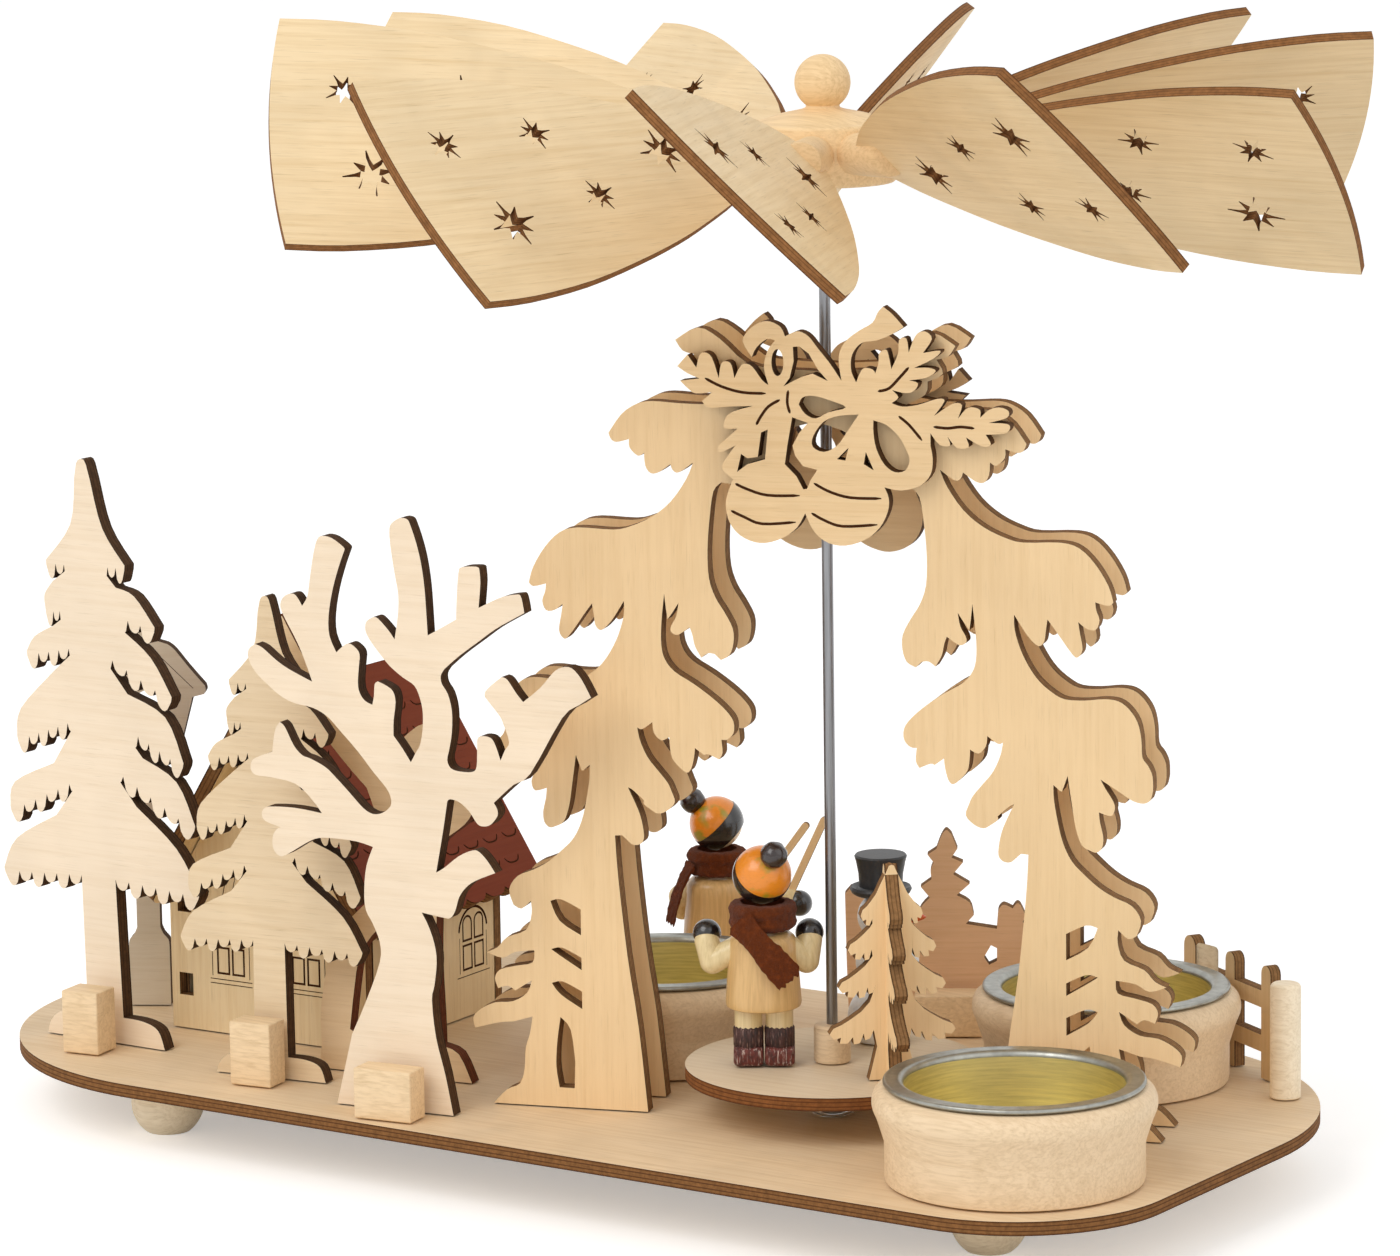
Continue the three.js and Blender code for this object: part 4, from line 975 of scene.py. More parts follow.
# The finishes of plates, in the order of Cut.
PALE_PLY = [Veneer("pale_birch", PALE, Grain.LEVEL, 0.6), DARK_EDGE, SCORCH]
ORNAMENT_PLY = [Veneer("ornament_beech", WARM, Grain.LEVEL, 0.8), ORNAMENT_EDGE_AND_SHADE, SCORCH]
MILD_PLY = [Veneer("mild_birch", (236, 212, 176), Grain.LEVEL, 0.9), DARK_EDGE, SCORCH]
REAR_PLY = [Veneer("rear_beech", (238, 210, 170), Grain.LEVEL, 0.8), RED_EDGE, SCORCH]
GREY_PLY = [Veneer("grey_birch", (222, 210, 190), Grain.LEVEL, 0.7), DARK_EDGE, SCORCH]
FENCE_PLY = [Veneer("fence_beech", (226, 196, 152), Grain.UPRIGHT, 0.9), EDGE, SCORCH]
WARM_PLY = [Veneer("warm_beech", WARM, Grain.UPRIGHT, 0.55), EDGE, SCORCH]
BOARD_PLY = [Veneer("board_birch", (238, 212, 176), Grain.LEVEL, 1.1), BOARD_EDGE, SCORCH]
WING_PLY = [Veneer("wing_birch", (243, 218, 176), Grain.LEVEL, 1.1), WING_EDGE, SCORCH]
WALL_PLY = [Veneer("wall_birch", (248, 226, 184)), EDGE, SCORCH]
# The back panel's plywood, browner and darker than the other plates: painted shade, standing for the shadow
# on the panel at the back.
PANEL_PLY_PAINTED_SHADE = [Veneer("beech_painted_shade", (232, 190, 150), Grain.LEVEL, 0.8), EDGE, SCORCH]
STAGE_PLY = [Veneer("stage_birch", (230, 210, 180), Grain.LEVEL, 0.8), STAGE_EDGE, SCORCH]

# The roof's last finish is that of its unstained underside.
UNDERSIDE = 3
ROOF_PLY = [Veneer("stained_roof", (126, 50, 8), Grain.LEVEL, 0.9), EDGE, SCORCH, WALL_PLY[0]]


# Pieces: finished meshes that stand for their CAD nodes.


@dataclass
class Bench:
    """Where finished meshes become pieces that ride on a body and stand for their nodes."""

    count: int = 0

    def fit(self, bm: BMesh, node: str, finishes: Sequence[Finish], body: str = "stand",
            place: Matrix | None = None, crease: float = 38.0) -> bpy.types.Object:
        """Makes a piece of a mesh.

        Args:
            bm: The mesh in millimetres, which is freed.
            node: The CAD node that it stands for.
            finishes: The finishes of its material slots.
            body: The CAD body that it rides on.
            place: Where the mesh goes, in millimetres.
            crease: The angle, in degrees, past which an edge stays sharp.

        Returns:
            The object.
        """
        scale = Matrix.Scale(MM, 4) @ Matrix.Translation(ORIGIN)
        placed(bm, scale @ (place or Matrix()))
        mesh = bpy.data.meshes.new(f"{node}_look")
        bm.to_mesh(mesh)
        bm.free()
        for finish in finishes:
            mesh.materials.append(material_of(finish))
        mesh.shade_smooth()
        mesh.set_sharp_from_angle(angle=math.radians(crease))
        piece = bpy.data.objects.new(f"{node}_look", mesh)
        bpy.context.scene.collection.objects.link(piece)
        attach(piece, body)
        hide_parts(node)
        self.count += 1
        log.info("%s: %d faces on %s", piece.name, len(mesh.polygons), body)
        return piece


@dataclass
class BaseBoard:
    """The plywood base with its turned ball feet.

    Attributes:
        left, right, front, back: How far the board reaches from the shaft.
        thickness: Its thickness.
        radius: The radius of three of its corners.
        small_radius: The radius of the front right corner.
        foot_diameter, foot_height: The flattened ball feet.
    """

    left: float = 190.0
    right: float = 83.6
    front: float = 51.8
    back: float = 84.0
    thickness: float = 2.6
    radius: float = 60.0
    small_radius: float = 30.0
    foot_diameter: float = 14.5
    foot_height: float = 11.6

    def outline(self) -> Line:
        """Draws the board with its four rounded corners."""
        r, s = self.radius, self.small_radius
        return [
            *arc((self.right - s, -self.front + s), s, -90, 0, 20),
            *arc((self.right - r, self.back - r), r, 0, 90, 28),
            *arc((-self.left + r, self.back - r), r, 90, 180, 28),
            *arc((-self.left + r, -self.front + r), r, 180, 270, 28),
        ]

    def foot(self) -> BMesh:
        """Turns a ball foot, flat where it stands and where it is glued."""
        radius, half = self.foot_diameter / 2, self.foot_height / 2
        flat = math.degrees(math.asin(half / radius))
        return turned([(0.0, -half), *arc((0.0, 0.0), radius, -flat, flat, 20), (0.0, half)], 56)

    def build(self, bench: Bench) -> None:
        """Builds the board and its feet."""
        board = Plate(self.outline(), self.thickness)
        top = raised(self.thickness) @ LYING
        bench.fit(board.mesh(), "base_board", BOARD_PLY, place=top)
        for side in ("front_left", "front_right", "back_right", "back_left"):
            node = f"foot_{side}"
            place = Matrix.Translation(middle_of(node))
            # The feet take the paler turned beech: painted light against the shade under the board.
            bench.fit(self.foot(), node, [TURNED_LIGHTENED_FOR_SHADE], place=place)


# Right half of a spruce-shaped arch plate, from the middle of its top, down its branches to the
# outer foot and back up the inner edge.
SPRUCE_START = (0.0, 143.0)
SPRUCE_RUNS = [
    [(7, 143.3), (13, 144.2), (18.2, 148.6), (22.4, 150.6), (26.8, 148.2)],
    [(25.4, 146.2), (23.2, 145.6)],
    [(24.4, 143), (21.5, 141.5)],
    [(21, 139), (16.9, 136.9)],
    [(20.4, 136.3), (25.9, 136.3), (31.5, 136.6), (34.5, 136), (37.5, 134), (40.1, 130.4)],
    [(39.6, 129.2), (38.5, 128.7), (36.1, 129.3)],
    [(36, 127.7), (34.4, 126.2), (33.2, 126.8)],
    [(33, 124.4), (32, 123), (30.4, 123.2), (28.1, 124.8)],
    [(27.6, 123.6), (26.4, 123.3), (23.7, 125.2)],
    [(25.1, 122), (28.1, 117.8), (31.8, 114.8), (35.9, 112.9), (39.4, 112.1), (46.4, 112.3),
     (50, 111.3), (53, 108.4), (55.4, 104.5), (56.3, 101.5)],
    [(55.4, 100.8), (52.9, 101.4)],
    [(53.1, 99.9), (53.7, 98.1), (53, 96.3), (51.3, 96.4), (49.7, 97.6)],
    [(50, 95.6), (50.5, 92.6), (49.7, 91.1), (48.6, 91.5), (45.4, 95.9), (43.9, 97.9)],
    [(43.6, 95.9), (43.3, 93.8), (42.5, 92.9), (41.6, 93.2), (39.9, 95), (37.6, 98.6)],
    [(37.7, 95.8), (38.8, 92.1), (40.4, 88.9), (42.3, 86.3), (44.7, 84.3), (47.1, 83.1), (50.8, 83),
     (54.5, 83.4), (57.2, 83.1), (59.2, 81.7), (60.8, 79.3), (61.5, 76.2), (61.7, 72.8), (62.8, 71.2),
     (63.6, 69.3), (63.7, 66.7)],
    [(63.2, 64.8), (61.9, 64.1), (59.9, 64.5), (57.8, 65.8), (53.8, 68.3)],
    [(54.8, 66.5), (56.2, 64.3), (56.5, 62.9), (55.8, 61.5), (53.5, 62.1)],
    [(53.7, 60.2), (54.3, 57.5), (54.1, 55.5), (53.1, 54.5), (51.8, 54.8), (50.2, 55.8), (49.1, 58.9),
     (48.4, 63.3), (47.6, 68.7)],
    [(46.8, 66.5), (46.4, 65.7), (45.6, 66.3), (44.9, 66.9)],
    [(45, 64.1), (45.7, 60), (46.7, 56), (48.3, 52.7), (50.6, 50.3), (53.4, 47.9), (56.3, 46.2),
     (59.7, 44.7), (61.4, 42), (60.6, 39.1)],
    [(59, 38.4), (57.1, 40)],
    [(57, 37.5), (58.2, 34.3), (62, 32.7), (64, 30.6), (66.2, 29.6)],
    [(63, 28.6), (60.4, 29.9), (56.6, 30.4)],
    [(57, 28), (60.3, 27.2), (63.5, 26.3), (64.6, 24.6), (64, 22.6)],
    [(62, 23.2), (60.6, 22.3)],
    [(57.2, 24.5)],
    [(58.2, 22), (61.1, 20.2), (64.6, 19.8), (67.5, 18.4), (69.1, 16.7), (68.8, 14.6)],
    [(64, 15.9), (61.2, 16.2)],
    [(57.2, 17.4)],
    [(57.8, 14), (58.7, 11.1), (59, 7), (60, 4.1), (62.6, 2.8), (65.3, 0)],
    [(34.4, 0)],
    [(36, 16.2), (38, 30), (39.6, 45.3), (40.1, 53.5)],
    [(38.7, 53.6)],
    [(37.8, 52.8), (36.7, 51.9), (35.3, 52), (34.4, 53.1), (34.6, 55.7), (35.4, 58.6), (37.4, 62.9)],
    [(36.4, 62.4), (34.3, 60.5)],
    [(34.3, 59.8), (33.1, 58.9), (31.6, 58.1), (29.8, 58.7), (28.2, 60.4), (28.8, 62.5), (29.6, 64.2),
     (31.5, 66.5), (33.5, 69), (35, 72.5), (35.6, 76.4)],
    [(35.4, 74.5)],
    [(34.4, 74.2), (32.4, 75.6)],
    [(32.1, 73.6), (30.7, 72.2), (29.1, 72.9)],
    [(29, 71.1), (28.6, 68.9), (27.2, 67.2), (25.8, 66.2), (24.9, 67), (24.3, 69.2), (24.1, 71)],
    [(22.3, 69.7)],
    [(21.5, 69.9), (19.4, 69)],
    [(18.7, 70.3), (18.9, 72.8)],
    [(17.7, 72.9), (16.5, 74.2), (16.5, 76.4), (17.9, 78.4), (20.5, 80.7), (24.2, 83.3), (27.9, 85.5),
     (29.8, 87.9), (30.4, 90.7), (30.3, 94.8), (29.7, 100.3)],
    [(29.4, 97.5), (29.1, 95.4)],
    [(28.2, 96.6), (26.9, 98.6)],
    [(27.4, 96), (28.4, 94.2), (28.5, 93.1), (27.6, 92.5), (26.7, 92.7), (24.8, 94)],
    [(24.3, 92.6), (23.8, 90.4), (22.6, 88.3)],
    [(21.3, 89.2), (20, 89.1)],
    [(18.8, 88)],
    [(17.1, 89), (16.3, 91.3), (16.4, 94.1), (18, 97.2), (19.7, 99.9), (20.9, 103.5), (21.1, 108.9),
     (20.6, 115), (19.8, 119.9), (18.3, 121.6)],
    [(12, 121)],
    [(9, 125), (7, 131), (0, 133.5)],
]

# The ornament: two baubles under a bow with fir twigs, from the upper left twig anticlockwise.
ORNAMENT_START = (-8.0, 140.6)
ORNAMENT_RUNS = [
    [(-9.2, 141.5), (-11, 143.9), (-12.5, 144.5), (-13.5, 143.7), (-14.5, 141.7)],
    [(-15, 144.1), (-15.8, 144.8), (-17, 144.4), (-17.5, 141.6)],
    [(-18.8, 145.5), (-20.2, 146.4), (-21.2, 145.8), (-21.8, 143.5)],
    [(-23.5, 145.9)], [(-25.5, 143.7)], [(-23.5, 142.4), (-21.2, 141.5)],
    [(-25, 141)], [(-23.5, 139.6), (-22, 138.7), (-18.8, 139)],
    [(-20.8, 137.3)], [(-19.5, 136.1), (-15.5, 136.4), (-11, 136.6)],
    [(-14.5, 135.6), (-16.2, 134.4), (-16.6, 132.4), (-14, 132.3)],
    [(-17.8, 129)], [(-17.5, 127.8), (-14.5, 129.1)], [(-16.2, 126.8), (-17.1, 124.8), (-15, 122.8)],
    [(-16.4, 119), (-16.1, 115.5), (-14.5, 112.9), (-12, 111.4), (-9, 111), (-5.5, 112.1),
     (-2.8, 114.1), (-1.2, 116.8)],
    [(0.5, 113.4), (3.2, 111.4), (6.5, 111), (10.2, 112.2), (13, 114.5), (14.6, 117.6), (14.8, 120.1),
     (14, 122.1)],
    [(17.2, 121.6), (20.8, 122.6), (22.8, 124.8), (23.2, 127.7), (22.8, 130)],
    [(22.8, 132.4)], [(24.5, 130.3), (26.5, 130.2), (26, 131.9)],
    [(27.8, 129.8), (30, 130), (29.5, 131.8)], [(32.5, 130.2), (34.2, 130.6), (33.2, 132.4)],
    [(36.8, 132.7), (37.8, 133.7), (37.2, 134.5), (33.8, 134.6)],
    [(37.2, 135.6), (37.5, 136.9), (35.8, 137.5), (33.9, 137), (32.2, 135.5)],
    [(32.2, 136.9), (30.8, 137.4), (29.5, 137), (28, 135.2)],
    [(28.8, 137.7), (27.5, 138.1), (25.9, 137.3), (23.5, 135.6)],
    [(25.5, 138.4), (24.2, 138.8), (20.5, 137.6), (17.5, 137.2), (15.5, 137.8)],
    [(16.8, 138.9), (15.6, 140.2)], [(18.2, 139.7), (19.8, 140.2), (20.5, 141.6), (18.8, 142.1)],
    [(22, 142.6), (23.9, 143.9), (22.5, 144.5), (19.8, 144.4)],
    [(23.5, 146.2), (24.8, 147.7), (21.5, 147.2)],
    [(23.2, 149.8), (22.2, 151.1), (20.8, 151), (19.8, 149.8), (18.8, 147.2)],
    [(18.4, 149.8), (17, 149.5), (16.8, 147), (15.5, 144.1)],
    [(15, 146.6), (14.5, 147.7), (13.2, 146.9), (13, 144.9), (11.6, 141)],
    [(12.4, 142.9), (12, 143.9), (10.5, 144.2), (9.6, 143.4), (8.8, 141.5)],
    [(7.9, 143.5), (7.9, 146), (8.8, 147.8), (10.2, 148.9), (13, 149.4), (15.8, 150.6), (17.9, 151.9)],
    [(15.8, 154.2), (14, 155.6)],
    [(13, 154.5), (12, 152.6), (9.5, 151.1), (7.2, 149.4), (5.9, 147.6), (5.5, 145.3), (6, 141.7)],
    [(3.8, 144.9), (1.5, 147.7), (-0.2, 149.8), (-2, 150.7), (-3.5, 150.3), (-4.7, 149.7)],
    [(-5.5, 151.4), (-7.5, 152.4), (-9.5, 152.2), (-11.8, 150.6), (-12.8, 148.5), (-11.1, 145.7)],
    [(-10.2, 147.5), (-8.2, 149.1), (-6.6, 148.9)],
    [(-8.1, 146.9), (-8.8, 143.8), (-8.0, 140.7)],
]
# Its openings with corners, its smooth openings and its engraved lines.
ORNAMENT_HOLES = [
    [(-3.2, 147.8), (-2, 147.9), (-0.2, 146.6), (1.5, 143.7), (3.4, 141.6), (0.5, 142.9), (-1.5, 142.3),
     (-3.5, 141.3), (-5.1, 140.4), (-3.9, 142), (-3.1, 145.1)],
    [(-9.5, 131.7), (-8.2, 132.3), (-8.8, 126.7), (-12.2, 125.7), (-14.2, 124.2), (-13.4, 127.6),
     (-12.2, 126.8), (-10.2, 127.1)],
    [(-3.5, 134.7), (-0.5, 133.7), (-2.2, 131.8), (-3.5, 129.4), (-3, 127.5), (-1.5, 125.6), (1.2, 125),
     (0, 123.2), (-0.8, 121.4), (-1.5, 121.3), (-2.8, 123.7), (-5, 125.9), (-4.5, 129.3)],
    [(7.2, 129.3), (5, 127.1), (6.6, 126.9)],
    [(10.5, 128.6), (12, 125.2), (10.1, 126.3)],
]
ORNAMENT_LOOPS = [
    [(-2.2, 137.1), (-1.5, 138.4), (0.5, 138.8), (3.5, 138.1), (6.8, 136.8), (3.5, 135.8), (1, 134.6),
     (-1, 135.4)],
    [(9.2, 135.5), (5.5, 135.2), (2.5, 134), (0.5, 131.3), (0.4, 129.3), (2.5, 128.4), (5, 129.6),
     (7, 132.3)],
    [(12, 134.5), (14.5, 133.7), (16.8, 131.6), (18.2, 129.2), (18.8, 127.3), (18, 125.4), (16, 125),
     (14, 126.4), (12.5, 129.3), (12, 132.2)],
]
ORNAMENT_LINES = [
    [(-20.2, 141.6), (-17, 140.1), (-13, 139.1), (-8.5, 139)],
    [(-5.8, 137.9), (-8, 136.6), (-9.5, 134.7), (-10.4, 133.1)],
    [(-4.2, 139.7), (-4.4, 137.4), (-3.9, 135.4)],
    [(18.8, 144.5), (17, 142.5), (15, 140.5), (12.9, 139.9)],
    [(23.4, 133.6), (26, 133.4), (28.5, 133.7), (31.1, 133.5)],
    [(16.8, 135.4), (18.8, 133.8), (21.2, 131)],
    [(-14.6, 122), (-12.5, 121.1), (-8.5, 120), (-2.2, 120.1)],
    [(-15.5, 116.9), (-13, 115.8), (-9.5, 114.6), (-3, 115.1)],
    [(0.5, 122.5), (3.5, 121), (7.5, 120), (13.4, 120)],
    [(0, 116.9), (2.5, 115.6), (6, 114.6), (12.6, 115.1)],
]

# The eye in the bow's knot: its centre and its radii across and upwards.
BOW_EYE = ((-6.2, 144.8), 1.15, 2.5)


@dataclass
class SpruceArch:
    """Two spruce-shaped plates round the shaft, their ornaments and the block that guides the shaft.

    Attributes:
        turn: How far the arch is turned on the board, in degrees.
        gap: The space between the plates.
        ply: The plates' thickness.
        ornament_ply: The ornaments' thickness.
        seat: The glue line between two pieces.
        line_width: The width of an engraved line.
        gaps: The lower and upper end of each gap between the little fir and the trunk.
        guide_width, guide_height: The size of the guide block.
    """

    turn: float = 17.7
    gap: float = 8.8
    ply: float = 3.2
    ornament_ply: float = 3.0
    seat: float = 0.3
    line_width: float = 0.54
    gaps: tuple[Point, ...] = ((33.8, 40.8), (27.0, 31.4), (19.4, 24.8))
    guide_width: float = 14.0
    guide_height: float = 8.0

    def spruce(self, sheet: float) -> Plate:
        """Draws an arch plate with the gaps between the little fir and the trunk."""
        right = trace(SPRUCE_START, *SPRUCE_RUNS)
        outline = [*right, *mirrored(right)[1:-1]]
        gaps = [
            trace((47.2, low), [(51.4, low + 2.6), (53.2, high - 0.6)],
                  [(51, high - 0.2), (47.2, high - 2)])
            for low, high in self.gaps
        ]
        gaps.append(trace((49, 3.8), [(52, 3.8)], [(52.6, 8), (52.3, 13), (51.6, 17.6)],
                          [(49.6, 15.2), (48.8, 9)]))
        return Plate(outline, self.ply, [*gaps, *(mirrored(gap) for gap in gaps)], sheet=sheet)

    def ornament(self, sheet: float) -> Plate:
        """Draws the pierced and engraved ornament."""
        outline = trace(ORNAMENT_START, *ORNAMENT_RUNS)
        loops = [smooth([*loop, loop[0]], 3)[:-1] for loop in ORNAMENT_LOOPS]
        holes = [*ORNAMENT_HOLES, *loops, disc(*BOW_EYE, count=24)]
        strokes = [ribbon(line, self.line_width) for line in ORNAMENT_LINES]
        return Plate(outline, self.ornament_ply, holes, strokes, sheet=sheet)

    def build(self, bench: Bench) -> None:
        """Builds the arch, both ornaments and the guide block."""
        arch = Place(turn=self.turn).matrix()
        face = self.gap / 2 + self.ply
        half_turn = spun(180)
        board = foot_of("arch_front")
        for node, turned_round, sheet in (("arch_front", Matrix(), 1.0), ("arch_back", half_turn, 2.0)):
            place = arch @ turned_round @ Matrix.Translation((0, -face, board))
            bench.fit(self.spruce(sheet).mesh(), node, WARM_PLY, place=place)
        ahead = face + self.seat + self.ornament_ply
        drop = foot_of("ornament_front") - foot_of("ornament_back")
        for node, turned_round, level in (("ornament_front", Matrix(), board),
                                          ("ornament_back", half_turn, board - drop)):
            place = arch @ turned_round @ Matrix.Translation((0, -ahead, level))
            bench.fit(self.ornament(level / 7).mesh(), node, ORNAMENT_PLY, place=place)
        guide = block((self.guide_width, self.gap - 2 * self.seat, self.guide_height), 0.4)
        bench.fit(guide, "shaft_guide_block", [BLOCK],
                  place=arch @ raised(foot_of("shaft_guide_block")))


@dataclass
class CandleCups:
    """Turned cups with pressed metal inserts, at three corners of the arch's own frame.

    Attributes:
        along, across: How far the cups stand from the shaft in the arch's frame.
        height, body, lip, bore, floor: The wooden cup's height, diameters and the floor's thickness.
        opening, rim, depth, wall: The insert's diameters, depth and sheet thickness.
        bright_rim: The level, from the lip, above which the insert has its bright finish.
        facets: How many facets go round them.
    """

    along: float = 44.6
    across: float = 38.4
    height: float = 17.6
    body: float = 47.6
    lip: float = 52.2
    bore: float = 42.6
    floor: float = 4.0
    opening: float = 40.4
    rim: float = 48.0
    depth: float = 12.4
    wall: float = 0.5
    bright_rim: float = -1.0
    facets: int = 112

    def cup(self) -> BMesh:
        """Turns the cup with its flared lip."""
        body, lip, bore, top = self.body / 2, self.lip / 2, self.bore / 2, self.height
        flare = smooth([(body, top * 0.42), (lip - 1.1, top * 0.64), (lip - 0.1, top * 0.8),
                        (lip - 0.5, top * 0.93), (lip - 2, top)], 5)
        return turned([(0, 0), (body - 0.7, 0), (body - 0.15, 0.25), (body, 0.9), *flare, (bore + 0.5, top),
                       (bore, top - 0.5), (bore, self.floor), (0, self.floor)], self.facets)

    def insert(self) -> BMesh:
        """Turns the insert: a flat-bottomed cup with a rolled rim that rests on the lip."""
        inner, wall, low = self.opening / 2, self.wall, -self.depth
        outer, rim = inner + wall, self.rim / 2
        corner = arc((inner - 2, low + wall + 2), 2, -90, 0, 8)
        hem = arc((rim - 0.5, 0.5), 0.48, -90, 110, 10)
        throat = arc((inner + 1.2, -0.2), 1.2, 90, 180, 8)
        edge = arc((outer - 2, low + 2), 2, -80, 0, 6)
        return turned([(0, low), (outer - 2, low), *edge, (outer, 0), *hem, (rim - 1.4, 0.9), *throat,
                       *reversed(corner), (0, low + wall)], self.facets)

    def build(self, bench: Bench) -> None:
        """Builds three cups and their inserts."""
        arch = Place(turn=SpruceArch.turn).matrix()
        sides = {"front": (1, -1), "back_right": (1, 1), "back_left": (-1, 1)}
        for side, (right, back) in sides.items():
            node = f"candle_cup_{side}"
            spot = arch @ Matrix.Translation((right * self.along, back * self.across, foot_of(node)))
            bench.fit(self.cup(), node, [TURNED], place=spot)
            top = spot @ raised(self.height + SpruceArch.seat)
            insert = self.insert()
            for face in insert.faces:
                face.material_index = 0 if face.calc_center_median().z > self.bright_rim else 1
            bench.fit(insert, f"candle_insert_{side}", [RIM, WELL], place=top)


@dataclass
class WingWheel:
    """The wheel of ten pierced wings on round pegs, its hub, the shaft, the stage and the bearing.

    Attributes:
        hub, cylinder, cone, finial: The hub's diameter and heights and the ball's diameter.
        reach, bow, half_chord, root: A wing's tip, the bow of its end, its half width and its inner end.
        peg, peg_end: The peg's diameter and where it ends.
        ply: The wings' thickness.
        peg_seat: How far the peg reaches into the hub.
        stage_radius, stage_ply: The stage's size.
        shaft: The shaft's diameter.
        joint_reach: How far along a wing's axis the point of its pitch joint lies from the shaft.
        pitches: How far each wing is pitched on its peg, in degrees.
        flipped: The wings that are set with their other face up.
    """

    hub: float = 27.0
    cylinder: float = 11.3
    cone: float = 2.6
    finial: float = 10.4
    reach: float = 102.5
    bow: float = 2.4
    half_chord: float = 25.0
    root: float = 18.6
    peg: float = 7.8
    peg_end: float = 27.0
    ply: float = 2.0
    stage_radius: float = 28.0
    stage_ply: float = 2.5
    shaft: float = 2.1
    peg_seat: float = 1.2
    joint_reach: float = 20.0
    pitches: tuple[float, ...] = (45, 44, 45, 44, 53, 47, 55, 50, 46, 44)
    flipped: tuple[str, ...] = ("wing_01", "wing_10")

    def star(self, centre: Point, size: float, turn: float) -> Line:
        """Draws a pierced star: slender rays of uneven length that meet round an open eye."""
        eye, waist = size * 0.36, size * 0.56
        half_gap, half_waist, half_tip = 22, 7, 1.4
        lengths = (1.0, 0.78, 0.94, 0.72) * 2
        points = []
        for i, share in enumerate(lengths):
            angle = turn + 360 / len(lengths) * i
            length = size * share
            ray = ((eye, -half_gap), (waist, -half_waist), (length, -half_tip), (length, half_tip),
                   (waist, half_waist))
            points += [at_angle(centre, radius, angle + swing) for radius, swing in ray]
        return points

    def wing(self, flipped: bool, sheet: float) -> BMesh:
        """Builds a wing along +X, lying flat, with its peg."""
        side = 1 if flipped else -1
        corner = self.reach - self.bow

        def at(along: float, across: float) -> Point:
            return (self.root + along * (corner - self.root), across * self.half_chord)

        edge = smooth([at(0, 0.13), at(0.115, 0.344), at(0.244, 0.52), at(0.359, 0.656), at(0.505, 0.792),
                       at(0.688, 0.928), at(0.871, 0.998), at(1, 1)], 3)
        half_rows = 8
        rows = [1 - i / half_rows for i in range(2 * half_rows + 1)]
        tip = [(self.reach - self.bow * row * row, self.half_chord * row) for row in rows]
        lower = [(x, -y) for x, y in reversed(edge)]
        large, small = 5.4, 3.9
        stars = [
            self.star(at(0.804, -0.36 * side), large, 10),
            self.star(at(0.859, 0.376 * side), small, 30),
            self.star(at(0.59, 0.4 * side), small, 5),
            self.star(at(0.517, -0.2 * side), small, 20),
            self.star(at(0.261, 0.128 * side), large, 0),
        ]
        blade = Plate([*edge, *tip[1:], *lower[1:]], self.ply, stars, sheet=sheet).mesh()
        placed(blade, raised(self.ply / 2) @ LYING)
        radius, start, end = self.peg / 2, self.hub / 2 - self.peg_seat, self.peg_end
        peg = turned([(0, start), (radius, start), (radius, end - 0.9), (radius - 0.25, end - 0.3),
                      (radius - 0.9, end), (0, end)], 40)
        return add_to(blade, peg, spun(90, "Y"), slot=len(WING_PLY))

    def hub_mesh(self) -> BMesh:
        """Turns the hub with its ball finial."""
        r, ball_radius, top = self.hub / 2, self.finial / 2, self.cylinder
        neck = ball_radius * 0.6
        centre = top + self.cone + ball_radius * 0.88
        from_angle = -math.degrees(math.acos(neck / ball_radius))
        rim = arc((r - 0.7, 0.7), 0.7, -90, 0, 4) + arc((r - 0.9, top - 0.9), 0.9, 0, 90, 5)
        cove = smooth([(r - 1.4, top + 0.1), (r * 0.62, top + self.cone * 0.5),
                       (neck + 0.6, top + self.cone * 0.9),
                       (neck, centre + ball_radius * math.sin(math.radians(from_angle)))], 5)
        return turned([(0, 0), *rim, *cove, *arc((0, centre), ball_radius, from_angle, 90, 22)[1:]], 88)

    def wing_places(self) -> dict[str, Matrix]:
        """Returns the place of each wing, from the axis and the point of its pitch joint."""
        places = {}
        for joint in frame["joints"]:
            if not joint["name"].endswith("_pitch"):
                continue
            name = joint["name"].removesuffix("_pitch")
            axis = Vector(joint["axis"]).normalized()
            turn, rise = math.atan2(axis.y, axis.x), math.asin(axis.z)
            root = Vector(joint["pos_m"]) / MM - ORIGIN - axis * self.joint_reach
            aimed = Matrix.Rotation(turn, 4, "Z") @ Matrix.Rotation(-rise, 4, "Y")
            pitch = self.pitches[int(name[-2:]) - 1]
            places[name] = Matrix.Translation(root) @ aimed @ spun(-pitch, "X")
        return places

